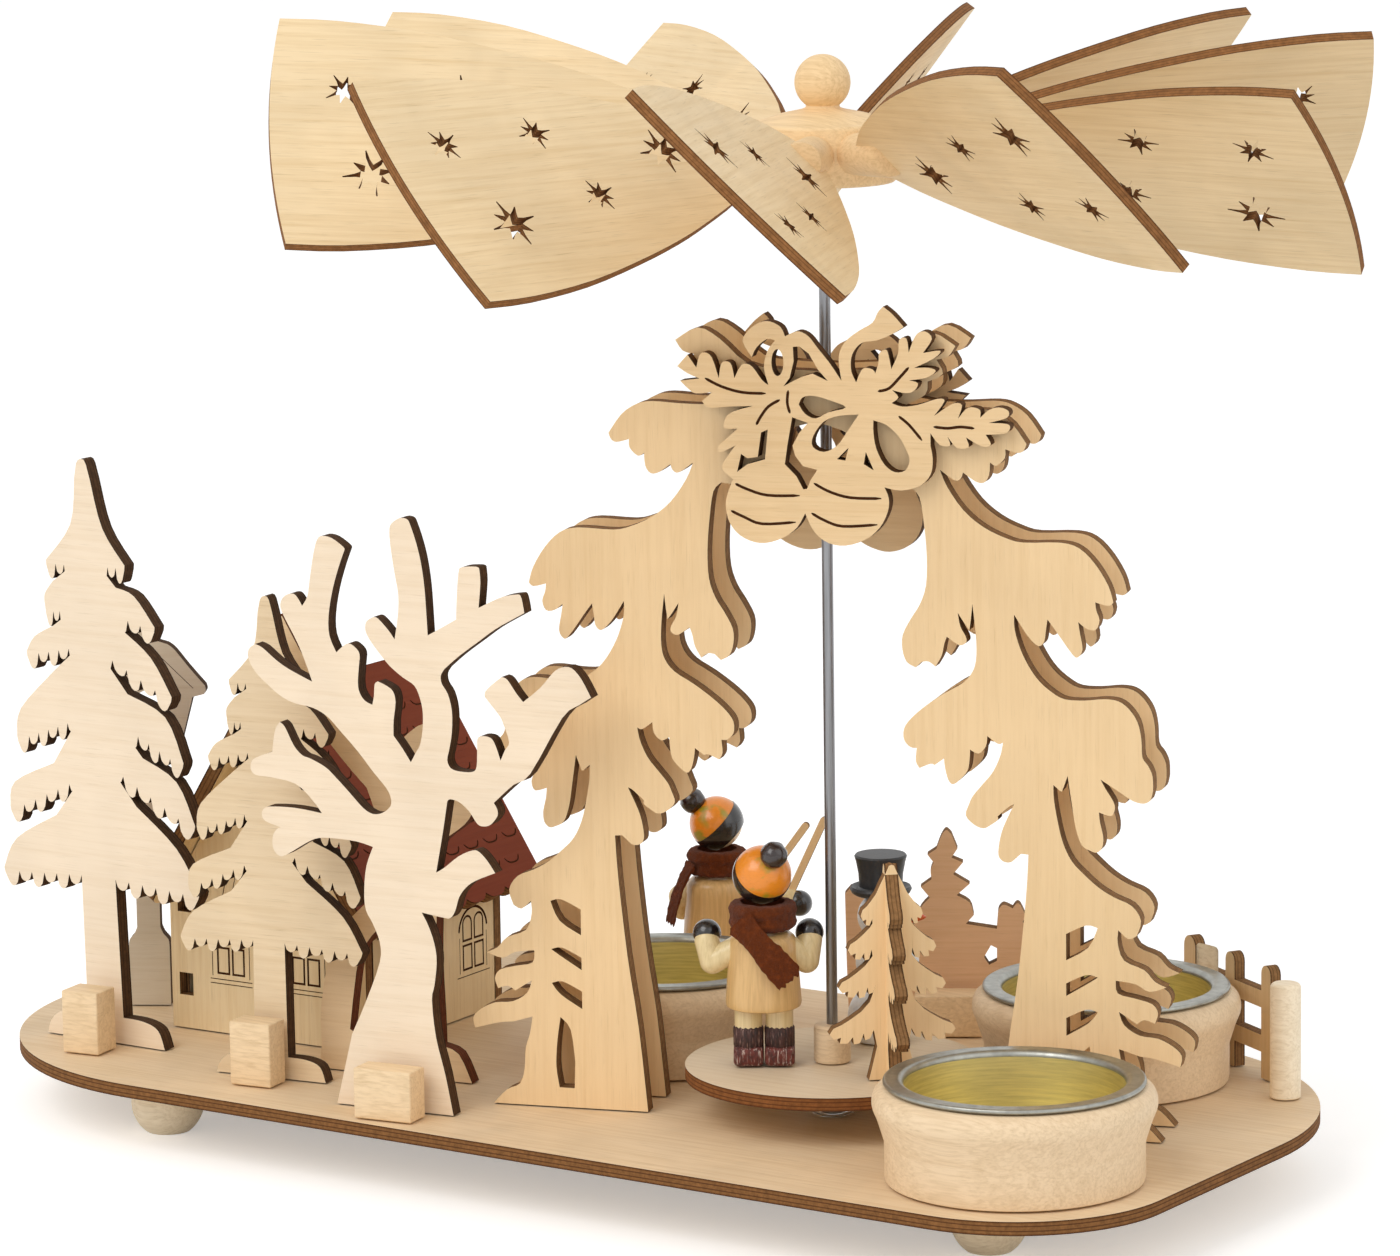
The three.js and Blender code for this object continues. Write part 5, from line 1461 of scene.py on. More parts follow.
    def build(self, bench: Bench) -> None:
        """Builds the hub, ten wings, the shaft, the stage, its collar and the glass dish."""
        bench.fit(self.hub_mesh(), "hub", [HUB_WOOD], "wing_wheel", raised(foot_of("hub")))
        for name, place in self.wing_places().items():
            wing = self.wing(name in self.flipped, float(name[-2:]))
            bench.fit(wing, name, [*WING_PLY, PEG], name.replace("wing", "blade"), place)
        foot = foot_of("shaft")
        r = self.shaft / 2
        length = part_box("shaft")[1].z / MM - ORIGIN.z - foot
        shaft = turned([(0, 0), (0.35, 0.2), (r, 1.6), (r, length), (0, length)], 32)
        bench.fit(shaft, "shaft", [STEEL], "wing_wheel", raised(foot))
        bore = disc((0, 0), 1.4)
        stage = Plate(disc((0, 0), self.stage_radius, count=128), self.stage_ply, [bore], sheet=5)
        place = raised(foot_of("turntable") + self.stage_ply) @ LYING
        bench.fit(stage.mesh(), "turntable", STAGE_PLY, "wing_wheel", place)
        collar = turned([(0, 0), (3.3, 0), (3.5, 0.3), (3.5, 6.6), *arc((2.8, 6.5), 0.7, 0, 90, 5),
                         (0, 7.2)], 48)
        bench.fit(collar, "shaft_collar", [TURNED], "wing_wheel",
                  raised(foot_of("shaft_collar")))
        dish = turned([(0, 0), (3.7, 0), (4.2, 0.3), (5.4, 2.6), (5.45, 3), (5.2, 3.2), (4.9, 3.1),
                       (3.2, 1.5), (1.4, 1), (0, 0.8)], 64)
        bench.fit(dish, "glass_bearing", [GLASS], place=raised(foot_of("glass_bearing")))


def strap(start: Point3, end: Point3, width: float, thickness: float, bulge: float) -> BMesh:
    """Makes a bent strip of felt.

    Args:
        start: The middle of its first end.
        end: The middle of its last end.
        width: Its width.
        thickness: Its thickness.
        bulge: How far its middle stands out, away from the upright axis.

    Returns:
        The closed mesh.
    """
    first, last = Vector(start), Vector(end)
    along = last - first
    outward = Vector((first.x + last.x, first.y + last.y, 0.0)).normalized()
    side = along.cross(outward).normalized()
    waist_depth, fray = 0.22, 0.35
    bm = bmesh.new()
    bmesh.ops.create_grid(bm, x_segments=8, y_segments=24, size=0.5)
    for vert in bm.verts:
        u, t = vert.co.x, vert.co.y + 0.5
        waist = 1.0 - waist_depth * math.sin(math.pi * min(1.0, 1.6 * t))
        ragged = fray * math.sin(31.0 * u) if t > 0.99 else 0.0
        vert.co = (first + along * t + side * (u * width * waist)
                   + outward * (bulge * math.sin(math.pi * t)) + along.normalized() * ragged)
    bmesh.ops.solidify(bm, geom=bm.faces, thickness=thickness)
    return closed_by(bm)


class Dress(Enum):
    """The parts of a child's body that are painted alike, in the order of its material slots."""

    COAT = 0
    LIMB = 1
    BOOT_UPPER = 2
    BOOT_LOWER = 3
    MITT = 4


@dataclass
class Child:
    """A turned child in a coat, seen from behind, with a felt scarf and a capped head.

    Attributes:
        name: The start of its nodes' names.
        arms: Each arm's joints.
        lean: Where the pompom stands from the head's middle.
        tail: The ends of the scarf's hanging tail.
        band, tail_width: The scarf's radius and its tail's width.
        hem, collar: The coat's radii.
        head, arm, mitt: The radii of its head, arms and mitts.
        stride: How far its boots stand from its middle.
        neck: The height of the scarf's underside.
        ribs, rib_depth: How many ribs go round a boot, and their depth against its radius.
    """

    name: str
    arms: list[list[Point3]]
    lean: Point3
    tail: tuple[Point3, Point3]
    band: float = 6.5
    tail_width: float = 3.8
    hem: float = 7.2
    collar: float = 6.5
    head: float = 5.6
    arm: float = 2.4
    mitt: float = 2.7
    stride: float = 2.95
    neck: float = 26.4
    ribs: int = 16
    rib_depth: float = 0.045

    def boot(self, x: float) -> list[tuple[BMesh, int]]:
        """Makes a leg with its ribbed boot and its foot, at x."""
        leg = turned([(0, 7.0), (2.62, 7.0), (2.62, 11.6), (0, 11.6)], 40)
        shaft = turned([(0, 3.5), (2.7, 3.5), (2.92, 3.9), (2.92, 7.0), (2.6, 7.6), (0, 7.6)], 96)
        for vert in shaft.verts:
            angle = math.atan2(vert.co.y, vert.co.x)
            inset = 1.0 - self.rib_depth * (0.5 + 0.5 * math.cos(self.ribs * angle))
            vert.co.x *= inset
            vert.co.y *= inset
        sole = placed(block((5.7, 7.4, 3.8), 1.0, 4), Place(y=0.6).matrix())
        aside = Place(x).matrix()
        return [(placed(leg, aside), Dress.LIMB.value), (placed(shaft, aside), Dress.BOOT_UPPER.value),
                (placed(sole, aside), Dress.BOOT_LOWER.value)]

    def body(self) -> BMesh:
        """Makes the coat, legs, boots and arms."""
        hem, collar = self.hem, self.collar
        coat = turned([(0, 11.2), (hem - 0.7, 11.2), (hem - 0.15, 11.5), (hem, 12.1),
                       *smooth([(hem - 0.05, 13), (hem - 0.3, 16.5), (collar + 0.1, 20.5), (collar, 23),
                                (collar - 0.5, 24.7), (collar - 1.8, 25.7)], 5), (0, 26)], 72)
        parts = [(coat, Dress.COAT.value), *self.boot(-self.stride), *self.boot(self.stride)]
        for joints in self.arms:
            parts.append((limb(joints, [self.arm] * len(joints)), Dress.LIMB.value))
            x, y, z = joints[-1]
            parts.append((ball(self.mitt, (x, y + 0.9, z + 1.2)), Dress.MITT.value))
        return together(*parts)

    def capped_head(self) -> BMesh:
        """Makes the head: a skin ball under a cap with a dark band and a pompom."""
        r = self.head
        up = toward(self.lean)
        face = ball(r - 0.35, steps=44)
        cap = turned([(0, -1.2), *arc((0.0, 0.0), r - 0.06, 2, 90, 26)], 64)
        inside = (r - 3, -4)
        ridge = turned([inside, *arc((0.0, 0.0), r + 0.04, -40, 6, 14), (r - 1.4, 0.4), inside], 64)
        pompom = roughen(ball(r * 0.46), 0.18, 1.1)
        top = Vector(self.lean).normalized() * (r + r * 0.43 * 0.55)
        parts = (face, placed(cap, up), placed(ridge, up), placed(pompom, Matrix.Translation(top)))
        return placed(together(*((part, slot) for slot, part in enumerate(parts))), raised(r))

    def scarf(self) -> BMesh:
        """Makes the felt band in two soft folds and its hanging tail."""
        r = self.band
        folds = smooth([(r - 2.2, 0.1), (r - 0.9, 0.05), (r - 0.1, 1.0), (r - 0.35, 2.4), (r - 0.05, 3.6),
                        (r - 0.6, 4.9), (r - 2.2, 5.1)], 4)
        band = turned([*folds, folds[0]], 96)
        tail = strap(*self.tail, self.tail_width, 1.2, 0.7)
        bmesh.ops.subdivide_edges(tail, edges=tail.edges, cuts=1, use_grid_fill=True)
        return roughen(together((band, 0), (tail, 0)), 0.22, 0.9)

    def build(self, bench: Bench, body: str, place: Matrix) -> None:
        """Builds the child on a body, its feet at the place."""
        node = f"{self.name}_body"
        dressed = [COAT, LIMB, BOOT_UPPER, BOOT_LOWER, BLACK]
        bench.fit(self.body(), node, dressed, body, place)
        scarf_place = place @ raised(self.neck)
        bench.fit(self.scarf(), f"{self.name}_scarf", [FELT], body, scarf_place, crease=60)
        head = f"{self.name}_head"
        head_place = place @ raised(foot_of(head) - foot_of(node))
        bench.fit(self.capped_head(), head, [SKIN, CAP, BLACK, POMPOM], body, head_place)


@dataclass
class TurningFigures:
    """The child, the snowman and the slotted fir that ride on the turning stage.

    Attributes:
        turn: How far their group is turned at rest, in degrees.
        child_at, snowman_at, fir_at: Their places in the group.
        fir_turn: How far the fir is turned in the group.
        tiers: The reach and height of each pair of branches of the slotted fir.
        lobes: A branch from the trunk out and back, its reach as one and its level as nought.
        ply: The thickness of the fir's plates.
    """

    turn: float = 32.9
    child_at: Point = (-12.9, -2.0)
    snowman_at: Point = (9.6, 16.4)
    fir_at: Point = (11.1, -13.6)
    fir_turn: float = 10.0
    tiers: tuple[Point, ...] = ((12, 10.6), (10.2, 19.4), (8.4, 26.6), (5.9, 33))
    lobes: tuple[Point, ...] = (
        (0.3, -1.0), (0.36, -2.6), (0.44, -2.9), (0.46, -1.6), (0.52, -3.4), (0.62, -3.6), (0.63, -2.2),
        (0.72, -3.4), (0.84, -3.3), (0.82, -2.2), (0.93, -2.5), (1.0, -1.5), (0.94, -0.4), (0.8, 0.3),
        (0.66, 1.3), (0.5, 2.6), (0.36, 4.4),
    )
    ply: float = 2.5

    def snowman(self) -> BMesh:
        """Turns the snowman and adds its arms and nose."""
        body = turned([(0, 0), *arc((0.0, 4.4), 6.65, -40, 58, 18), *arc((0.0, 15.2), 4.95, -46, 54, 14),
                       *arc((0.0, 24.3), 4.55, -48, 56, 14), (0, 28.2)], 72)
        nose = turned([(0, 0), (1.45, 0), (1.5, 0.4), (1.1, 2.4), (0.5, 4.2), (0.12, 4.7), (0, 4.75)], 32)
        placed(nose, Matrix.Translation((3.9, 0, 24)) @ spun(90, "Y"))
        arms = [limb([(2.2, side * 3.6, 17.6), (5.0, side * 4.3, 14.4)], [2.1, 2.3]) for side in (-1, 1)]
        return together((body, 0), (arms[0], 0), (arms[1], 0), (nose, 1))

    def hat(self) -> BMesh:
        """Turns the top hat with its curled brim."""
        return turned([(0, 0), (4.9, 0.05), (5.6, 0.5), (5.95, 1.2), (5.7, 1.75), (5.2, 1.6), (4.6, 1.3),
                       (4.15, 1.7), (4.3, 4.2), (4.75, 6.6), (5.05, 7.6), (4.8, 7.95), (0, 8)], 72)

    def fir(self) -> BMesh:
        """Makes the fir of two crossed plates."""
        half = [(4.6, 0.0), (3.0, 6.4)]
        for reach, level in self.tiers:
            half += [(reach * x, level + z) for x, z in self.lobes]
        half += [(1.0, 39.6), (0.5, 40.8), (0.0, 41.0)]
        outline = [*half, *mirrored(half)[1:]]
        centred = Place(y=-self.ply / 2).matrix()
        plates = (Plate(outline, self.ply, sheet=sheet) for sheet in (6.0, 7.0))
        first, second = (placed(plate.mesh(), centred) for plate in plates)
        return add_to(first, second, spun(90))

    def build(self, bench: Bench) -> None:
        """Builds the three figures on the wheel."""
        group = Place(turn=self.turn).matrix()

        def at(spot: Point, node: str, turn: float = 0.0) -> Matrix:
            """Returns a figure's place at the height of its node."""
            return group @ Place(*spot, foot_of(node), turn).matrix()

        left_arm = [(-5, 0, 22.4), (-9.6, 0.6, 19.8), (-10.6, 1.8, 23.6)]
        right_arm = [(5, 0, 22.4), (8.2, 0.6, 19.8), (8.8, 1.8, 23.6)]
        child = Child("child", [left_arm, right_arm], lean=(2.0, -4.0, 4.1),
                      tail=((-4.2, -6.4, 3), (5.0, -8.8, -7.4)), tail_width=5.0)
        child.build(bench, "wing_wheel", at(self.child_at, "child_body"))
        bench.fit(self.snowman(), "snowman", [WHITE, NOSE], "wing_wheel",
                  at(self.snowman_at, "snowman"))
        bench.fit(self.hat(), "snowman_hat", [HAT], "wing_wheel",
                  at(self.snowman_at, "snowman_hat"))
        bench.fit(self.fir(), "slotted_fir", WARM_PLY, "wing_wheel",
                  at(self.fir_at, "slotted_fir", self.fir_turn))


class Branch(NamedTuple):
    """One hanging branch of a flat fir.

    Attributes:
        arm: Its shoulder, belly and tip.
        notch: Where it meets the trunk below.
        lobes: How many lobes hang between tip and notch.
    """

    arm: tuple[Point, Point, Point]
    notch: Point
    lobes: int


# The branches of the flat firs on each side, from the top, and the foot of the trunk.
FIR_RIGHT = [
    Branch(((0.6, 114), (3.4, 104.4), (8.8, 97.4)), (2.4, 96.7), 3),
    Branch(((6.4, 92.8), (11, 91.4), (16, 85.6)), (2.9, 87.8), 4),
    Branch(((8, 84.2), (14.8, 79.4), (19.8, 72)), (1.4, 79.8), 5),
    Branch(((8.6, 71.6), (18, 67.8), (22.3, 59)), (5.6, 65.8), 6),
    Branch(((12, 59), (20.4, 55), (24.8, 46.6)), (3.4, 56.6), 6),
    Branch(((10, 49), (20, 41.4), (25.4, 33)), (4, 33.6), 6),
]
FIR_LEFT = [
    Branch(((-3.4, 114), (-4.8, 104.6), (-11.4, 97)), (-4.6, 96.4), 3),
    Branch(((-9.8, 92.8), (-12, 90), (-11.9, 87.2)), (-4.9, 87.3), 4),
    Branch(((-10, 83.8), (-15, 81.2), (-17.2, 78)), (-3.6, 80), 5),
    Branch(((-10, 74.8), (-19.2, 66.2), (-20.4, 60.4)), (-4.6, 65.2), 6),
    Branch(((-11, 55.8), (-21.4, 51), (-22.8, 45.8)), (-4.2, 53.2), 6),
    Branch(((-10.8, 45.2), (-21.4, 39.4), (-25, 33)), (-4.7, 33.6), 6),
]
FIR_FOOT = [(5, 5.4), (10, 5.2), (13.8, 3.8), (15.4, 0)]
FIR_FOOT_LEFT = [(-14.8, 0), (-13.8, 2.8), (-10.6, 5), (-4.2, 5.2)]

# The bare tree, from the left of its trunk up over its limbs and down its right.
BARE_START = (-9.6, 14.0)
BARE_RUNS = [
    [(-6.3, 20.9), (-3.2, 28.6), (-3.1, 32.5), (-4.5, 36), (-6, 38.7), (-6.2, 42.6), (-5.6, 47.2),
     (-4.1, 51)],
    [(-7.7, 51.8), (-12.7, 52), (-15.9, 51.8), (-18.5, 50.7), (-23, 48), (-24.7, 47.7), (-25.9, 49.1),
     (-25.9, 51.4), (-25.1, 52.7), (-24.1, 53.3)],
    [(-27.4, 54.2), (-28.2, 55.6), (-27.5, 56.8), (-25.8, 57.2), (-20.7, 57.3), (-15, 56.7)],
    [(-17.1, 59.2), (-20.6, 62), (-26, 62.9), (-29.3, 63.1), (-30.4, 64.3), (-29.9, 66), (-27.7, 67.1),
     (-25.5, 67.9)],
    [(-25.1, 70.8), (-24.6, 72.6), (-23.7, 73.8)],
    [(-22.6, 72.9), (-20.8, 69.5), (-19, 67.7), (-17.3, 67.2), (-14.1, 65.8), (-12, 64.1), (-8.8, 61.1),
     (-6, 58.4), (-3.9, 57.4), (-1.8, 57.8), (-0.1, 59.2), (0, 60.8), (-0.9, 62.6), (-3.7, 65.6),
     (-6.8, 69.2), (-10.7, 73.1), (-13.5, 75.7), (-16.6, 77.1), (-20.5, 77.7), (-23.4, 78.9),
     (-25.9, 80.7), (-28.7, 83.1), (-30.2, 85.6), (-30.1, 87.5), (-28.7, 88.6)],
    [(-27.1, 88), (-24.3, 85.9), (-21.4, 84.2), (-16.4, 82.1)],
    [(-18.4, 87.3), (-20.1, 90.7), (-21.9, 93.8), (-22.9, 96), (-22.6, 97.6), (-21.4, 98.6),
     (-19.9, 98.8), (-18.9, 97.8), (-18.2, 96.6)],
    [(-17, 98.5), (-16.4, 101.8), (-15.5, 106.6), (-14.6, 109.5), (-13.5, 110.3), (-11.4, 110),
     (-9, 108.5), (-8.7, 107.9)],
    [(-10, 104.7), (-11.5, 100.1), (-12.5, 95), (-12.4, 91.2), (-11, 88.1)],
    [(-9.9, 89.1), (-8.4, 90), (-7, 89.4), (-6, 88.1), (-6.2, 85.8), (-6.5, 82.6), (-6.2, 80.7),
     (-5.1, 79.2), (-3.5, 78.5)],
    [(-3.1, 80.3), (-2.9, 82.5), (-2.2, 83.1)],
    [(-0.4, 82.4), (1, 81.4), (1.5, 79.3), (1, 75.8), (0.9, 72.9)],
    [(2.8, 70.5), (4.5, 68)],
    [(5.7, 70.1), (6.5, 71.4), (7.1, 74), (7.3, 77.5), (6.8, 80.3), (5.6, 82.8), (3.2, 84.2), (0.7, 86),
     (-1, 87.7), (-3.4, 90.5), (-4.6, 92.6), (-4.4, 94.4), (-2.9, 95.4)],
    [(-1.9, 95.2), (0.2, 93.2), (1.6, 91.4)],
    [(2.4, 95.9), (2.6, 100), (1.9, 104.1), (1.2, 108.8), (1, 111.9), (1.4, 113.4), (3.2, 114.6),
     (4.8, 114.5), (5.5, 113.4), (6.7, 110), (7.6, 106.3), (8.2, 101.9), (8.5, 96.9), (8.7, 92.6)],
    [(11.6, 94.2), (14.8, 96)],
    [(15, 99.8), (15.5, 104.9), (16.2, 106), (19.2, 106.3), (19.9, 106)],
    [(20.1, 103.3), (19.6, 98.5)],
    [(21.8, 99.6), (24.7, 100.9), (27.5, 101.5), (28.5, 101.3), (29, 99.4), (29.2, 98.1)],
    [(27, 96.9), (23.1, 94.7), (19.6, 92.2), (15.3, 89.1), (12.1, 86.4)],
    [(11.3, 85.1), (11.5, 83.5), (12.7, 81.7), (13.5, 78.5), (13.4, 74.4), (12.8, 71.2), (12.3, 69),
     (13, 67.5), (14.8, 67), (17.6, 67.1), (18.5, 68.2), (18.7, 71.6), (18.8, 73.5), (19.7, 74.1),
     (21.6, 73.9), (22.6, 72.5), (23.6, 69.7)],
    [(24.6, 71.8), (25.5, 73.4), (24.3, 76.8), (23.5, 78.3), (21.1, 81), (20.5, 81.9), (21.1, 83.2),
     (24.2, 85.7)],
    [(25.4, 85.2), (27.1, 82.9), (28.6, 81.2)],
    [(32.2, 84.1), (35, 87.2), (36.8, 88.3), (38.9, 88.3), (40.9, 86.3), (42.8, 83)],
    [(40.3, 81.4), (36.7, 78.7), (29.8, 67.6), (26.3, 65.3), (23.1, 62.5), (22, 61.5)],
    [(22.7, 60.3), (22.7, 59), (21.3, 57.3), (19.8, 56.8), (18.4, 57.2), (16.7, 59.5), (14.6, 61.1),
     (12.7, 61.5), (12.1, 61)],
    [(11, 54.9), (9.4, 47.1)],
    [(11.2, 48.2), (14.4, 50.7), (17.3, 52), (18.7, 51.8), (20.4, 50.2), (22, 48)],
    [(17.8, 46.2), (15.7, 44.7), (14.2, 42.7), (13.3, 40), (12.2, 38.5), (10.6, 38.5), (8.1, 38.8),
     (6.1, 39.1)],
    [(7.5, 36.6), (8.7, 33.2), (9.1, 29.7), (8.5, 25.1), (7.9, 22.2), (8.6, 15), (10.4, 8), (12, 0)],
    [(-13.2, 0)],
]

# The rear bare tree, which stands on two legs, and the gap between them.
REAR_START = (-18.0, 0.0)
REAR_RUNS = [
    [(-17.4, 5)],
    [(-17.4, 12), (-15.6, 22), (-14.6, 26)],
    [(-10, 31), (-4.5, 36.5), (-3, 42), (-3.6, 50), (-6, 57)],
    [(-11, 62), (-17.5, 69.5), (-22, 77), (-26.6, 85.6), (-26.8, 88.6), (-24.4, 90), (-23.2, 88.6)],
    [(-18.6, 81), (-12, 73.5), (-5, 67)],
    [(-3, 64.5), (0, 65.5), (5.5, 70), (9.5, 70.6), (11.4, 68), (9.6, 65), (6, 60.4), (5, 56.5),
     (5.4, 53)],
    [(9, 55.5), (14, 56.6), (17, 54.4), (15.4, 51.4), (10.5, 47.6), (8.8, 44), (8.9, 36), (8.5, 24),
     (8.9, 12), (9, 7)],
    [(13, 5.6), (15.8, 0)],
]
REAR_GAP = [
    (-11, 8.4), (-9.3, 20), (-7.6, 25), (-3.5, 29.8), (0.2, 32), (0.2, 24), (1, 12), (1, 7.4), (-8, 7.4),
]


@dataclass
class Village:
    """The standing plates round the house: firs, bare trees, bird house, fence and back panel.

    Attributes:
        ply: The plates' thickness.
        fence_ply, fence_height: The fence's plate.
        pickets: The left side and width of each picket.
        rails: The levels of the rails.
        rail_height: The height of a rail.
        post_diameter, post_height, posts: The turned fence posts and where they stand along it.
        cup_gap: The gap between the left post and the cup's lip.
        lobe_depth: How far the lobes hang from the branches of the flat firs.
        box_shift: How far the bird house sits to the right of its post.
        front_fir, middle_fir, bare_tree, rear_tree, bird_house, back_panel, fence: The plates' places.
        stop_blocks: The node, place and size of each block that a plate is glued to.
    """

    ply: float = 3.0
    fence_ply: float = 2.3
    fence_height: float = 22.6
    pickets: tuple[Point, ...] = ((-35, 4.6), (-18.4, 3.6), (-4.4, 3.6))
    rails: tuple[float, ...] = (5.2, 14.0)
    rail_height: float = 3.4
    post_diameter: float = 5.9
    post_height: float = 22.4
    posts: tuple[float, float] = (-24.0, 10.6)
    cup_gap: float = 0.35
    lobe_depth: float = 3.1
    box_shift: float = 1.6
    front_fir: Place = Place(-156.4, -27.0)
    middle_fir: Place = Place(-109.4, -33.4, 0.0, 8.0)
    bare_tree: Place = Place(-72.5, -41.0, 0.0, 8.5)
    rear_tree: Place = Place(-88.0, -19.5, 0.0, 8.5)
    bird_house: Place = Place(-168.3, 2.2, 0.0, 30.6)
    back_panel: Place = Place(-12.5, 73.5, 0.0, 30.8)
    fence: Place = Place(60.4, 62.8, 0.0, -31.5)
    stop_blocks: tuple[tuple[str, Place, Point3], ...] = (
        ("stop_block_front_fir", Place(-154.2, -34.4, 0.0, 8.0), (8.2, 7.0, 12.6)),
        ("stop_block_middle_fir", Place(-108.6, -38.2, 0.0, 8.0), (9.0, 6.0, 12.6)),
        ("stop_block_bare_tree", Place(-70.4, -46.4, 0.0, 8.5), (12.2, 6.0, 9.8)),
        ("stop_block_back_panel", Place(-14.4, 65.4, 0.0, 30.8), (13.8, 7.4, 8.4)),
    )

    def fir(self, scale: float = 1.0, lean: float = 0.0, sheet: float = 3.0) -> Plate:
        """Draws a flat fir with hanging branches.

        Args:
            scale: Its size against the front one.
            lean: How far it leans for each millimetre of height.
            sheet: Where in the veneer it was cut.

        Returns:
            The plate.
        """
        right, left = [], []
        for side, branches in ((right, FIR_RIGHT), (left, FIR_LEFT)):
            for branch in branches:
                tip_x, tip_z = branch.arm[-1]
                side += smooth(branch.arm, 4)
                side.append((tip_x * 0.99, tip_z - 1.0))
                side += fringe((tip_x * 0.97, tip_z - 0.6), branch.notch, branch.lobes, self.lobe_depth, 6)
                side.append(branch.notch)
        top = [(-2.8, 117.0), (-2.3, 117.7), (-1.5, 118.0), (-0.8, 117.8), (-0.3, 117.0)]
        points = [*top, *right, *smooth(FIR_FOOT, 4), *smooth(FIR_FOOT_LEFT, 4), *reversed(left)]
        return Plate([(x * scale + z * lean, z * scale) for x, z in points], self.ply, sheet=sheet)

    def front_tree(self) -> Plate:
        """Draws the tall bare tree."""
        return Plate(trace(BARE_START, *BARE_RUNS), self.ply, sheet=8.0)

    def back_tree(self) -> Plate:
        """Draws the bare tree on two legs."""
        gap = smooth([*REAR_GAP, REAR_GAP[0]], 2)[:-1]
        return Plate(trace(REAR_START, *REAR_RUNS), self.ply, [gap], sheet=9.0)

    def bird_box(self) -> Plate:
        """Draws the bird house with its knob and its door, on a post with a bottle-shaped foot."""
        post = trace((4.2, 0), [(4.2, 12.4)], [(4.0, 13.8), (3.0, 15.0), (2.4, 16.4)], [(2.4, 52.6)])
        right = trace((6.4, 55.4), [(8.8, 64.4)], [(11.2, 65)], [(11.6, 65.8), (11.4, 66.8)],
                      [(8.2, 70.6), (5.4, 74.2), (3.9, 75.4)])
        left = trace((-6.4, 55.4), [(-8.8, 64.4)], [(-11.2, 65)], [(-11.6, 65.8), (-11.4, 66.8)],
                     [(-8.0, 70.8), (-4.4, 74.4), (-2.4, 75.6)])
        knob = arc((0.8, 78.2), 2.4, -50, 230, 14)
        right, left = ([(x + self.box_shift, z) for x, z in side] for side in (right, left))
        outline = [*post, (2.4, 54.6), *right, *knob, *reversed(left), (-2.4, 54.6), *mirrored(post)]
        fine, bold = 0.3, 0.36
        strokes = [ribbon([(-4.6, 57.4), (7.8, 57.4)], fine), ribbon([(-7.4, 66.2), (1.4, 74.6)], bold),
                   ribbon([(2.2, 74.6), (10.6, 66.2)], bold)]
        door = disc((1.6, 62.4), 3.5)
        return Plate(outline, self.ply, [door], strokes, sheet=10.0)

    def panel(self) -> Plate:
        """Draws the back panel: a hedge, a fir, a rail and a shrub."""
        hedge = [(-26, 0), (-26.4, 14), (-26.6, 27.2), (-25.4, 28.6), (-22.4, 28.4), (-21.6, 26),
                 (-21.2, 20), (-15, 20.4)]
        fir = trace((-12.6, 21), [(-11.4, 24.4), (-9.6, 26.4)], [(-11.4, 28.6)], [(-9.2, 30.2)],
                    [(-9.4, 32), (-8.8, 33.6)], [(-10, 35.2)], [(-8.2, 36.4)],
                    [(-7.4, 38.6), (-6.6, 40), (-6, 40.2), (-5.2, 39.4)], [(-4, 36.4)], [(-5.2, 34.6)],
                    [(-2.9, 33.6)], [(-4.9, 31.2)], [(-1.6, 29.2)], [(-4.2, 26.9)],
                    [(-1.6, 25.4), (-0.8, 22.8)], [(-2.4, 21)])
        shrub = trace((3.8, 20), [(4, 22.4), (4.2, 24), (5, 24.9), (5.8, 24.8), (7, 24.2)],
                      [(7.8, 25.2), (8.6, 24.8), (9.6, 22.6)], [(9, 21.4)], [(10.6, 19.6), (10.4, 18)],
                      [(9.8, 16.6)], [(11.6, 14.6), (12, 12)], [(12, 0)])
        gap = [(2.6, 16.6), (1.2, 14.2), (2.2, 12.6), (3.8, 13.4), (3.8, 16)]
        return Plate([*hedge, *fir, *shrub], self.ply, [gap], sheet=11.0)

    def fence_mesh(self) -> BMesh:
        """Makes the pickets and rails of one plate with the left post, hollowed for the cup's lip."""
        low_rail, high_rail = self.rails
        low_top, high_top = (rail + self.rail_height for rail in self.rails)
        (start, first_width), *others = self.pickets
        inner, half = start + first_width, first_width / 2
        end = sum(others[-1])
        outline = [(start, 0), (inner, 0), (inner, low_rail)]
        for left, width in others:
            outline += [(left, low_rail), (left, 0), (left + width, 0), (left + width, low_rail)]
        outline.append((end, high_rail))
        for left, width in reversed(others):
            if left + width < end:
                outline.append((left + width, high_top))
            outline += arc((left + width / 2, self.fence_height - width / 2), width / 2, 0, 180, 10)
            outline.append((left, high_top))
        outline.append((inner, high_top))
        outline += arc((start + half, self.fence_height - half), half, 0, 180, 12)
        gaps = [
            [(left + width, low_top), (right, low_top), (right, high_rail), (left + width, high_rail)]
            for (left, width), (right, _) in zip(self.pickets, others)
        ]
        bm = Plate(outline, self.fence_ply, gaps, sheet=12.0).mesh()
        let_in = 0.4
        post = placed(self.post(), Place(self.posts[0], let_in - self.post_diameter / 2).matrix())
        arch = Place(turn=SpruceArch.turn).matrix()
        cup = self.fence.matrix().inverted() @ arch @ Vector((CandleCups.along, CandleCups.across, 0))
        clear = CandleCups.lip / 2 + self.cup_gap
        for vert in post.verts:
            away = Vector((vert.co.x - cup.x, vert.co.y - cup.y))
            if away.length < clear:
                away.length = clear
                vert.co.x, vert.co.y = cup.x + away.x, cup.y + away.y
        return add_to(bm, post, slot=len(FENCE_PLY))

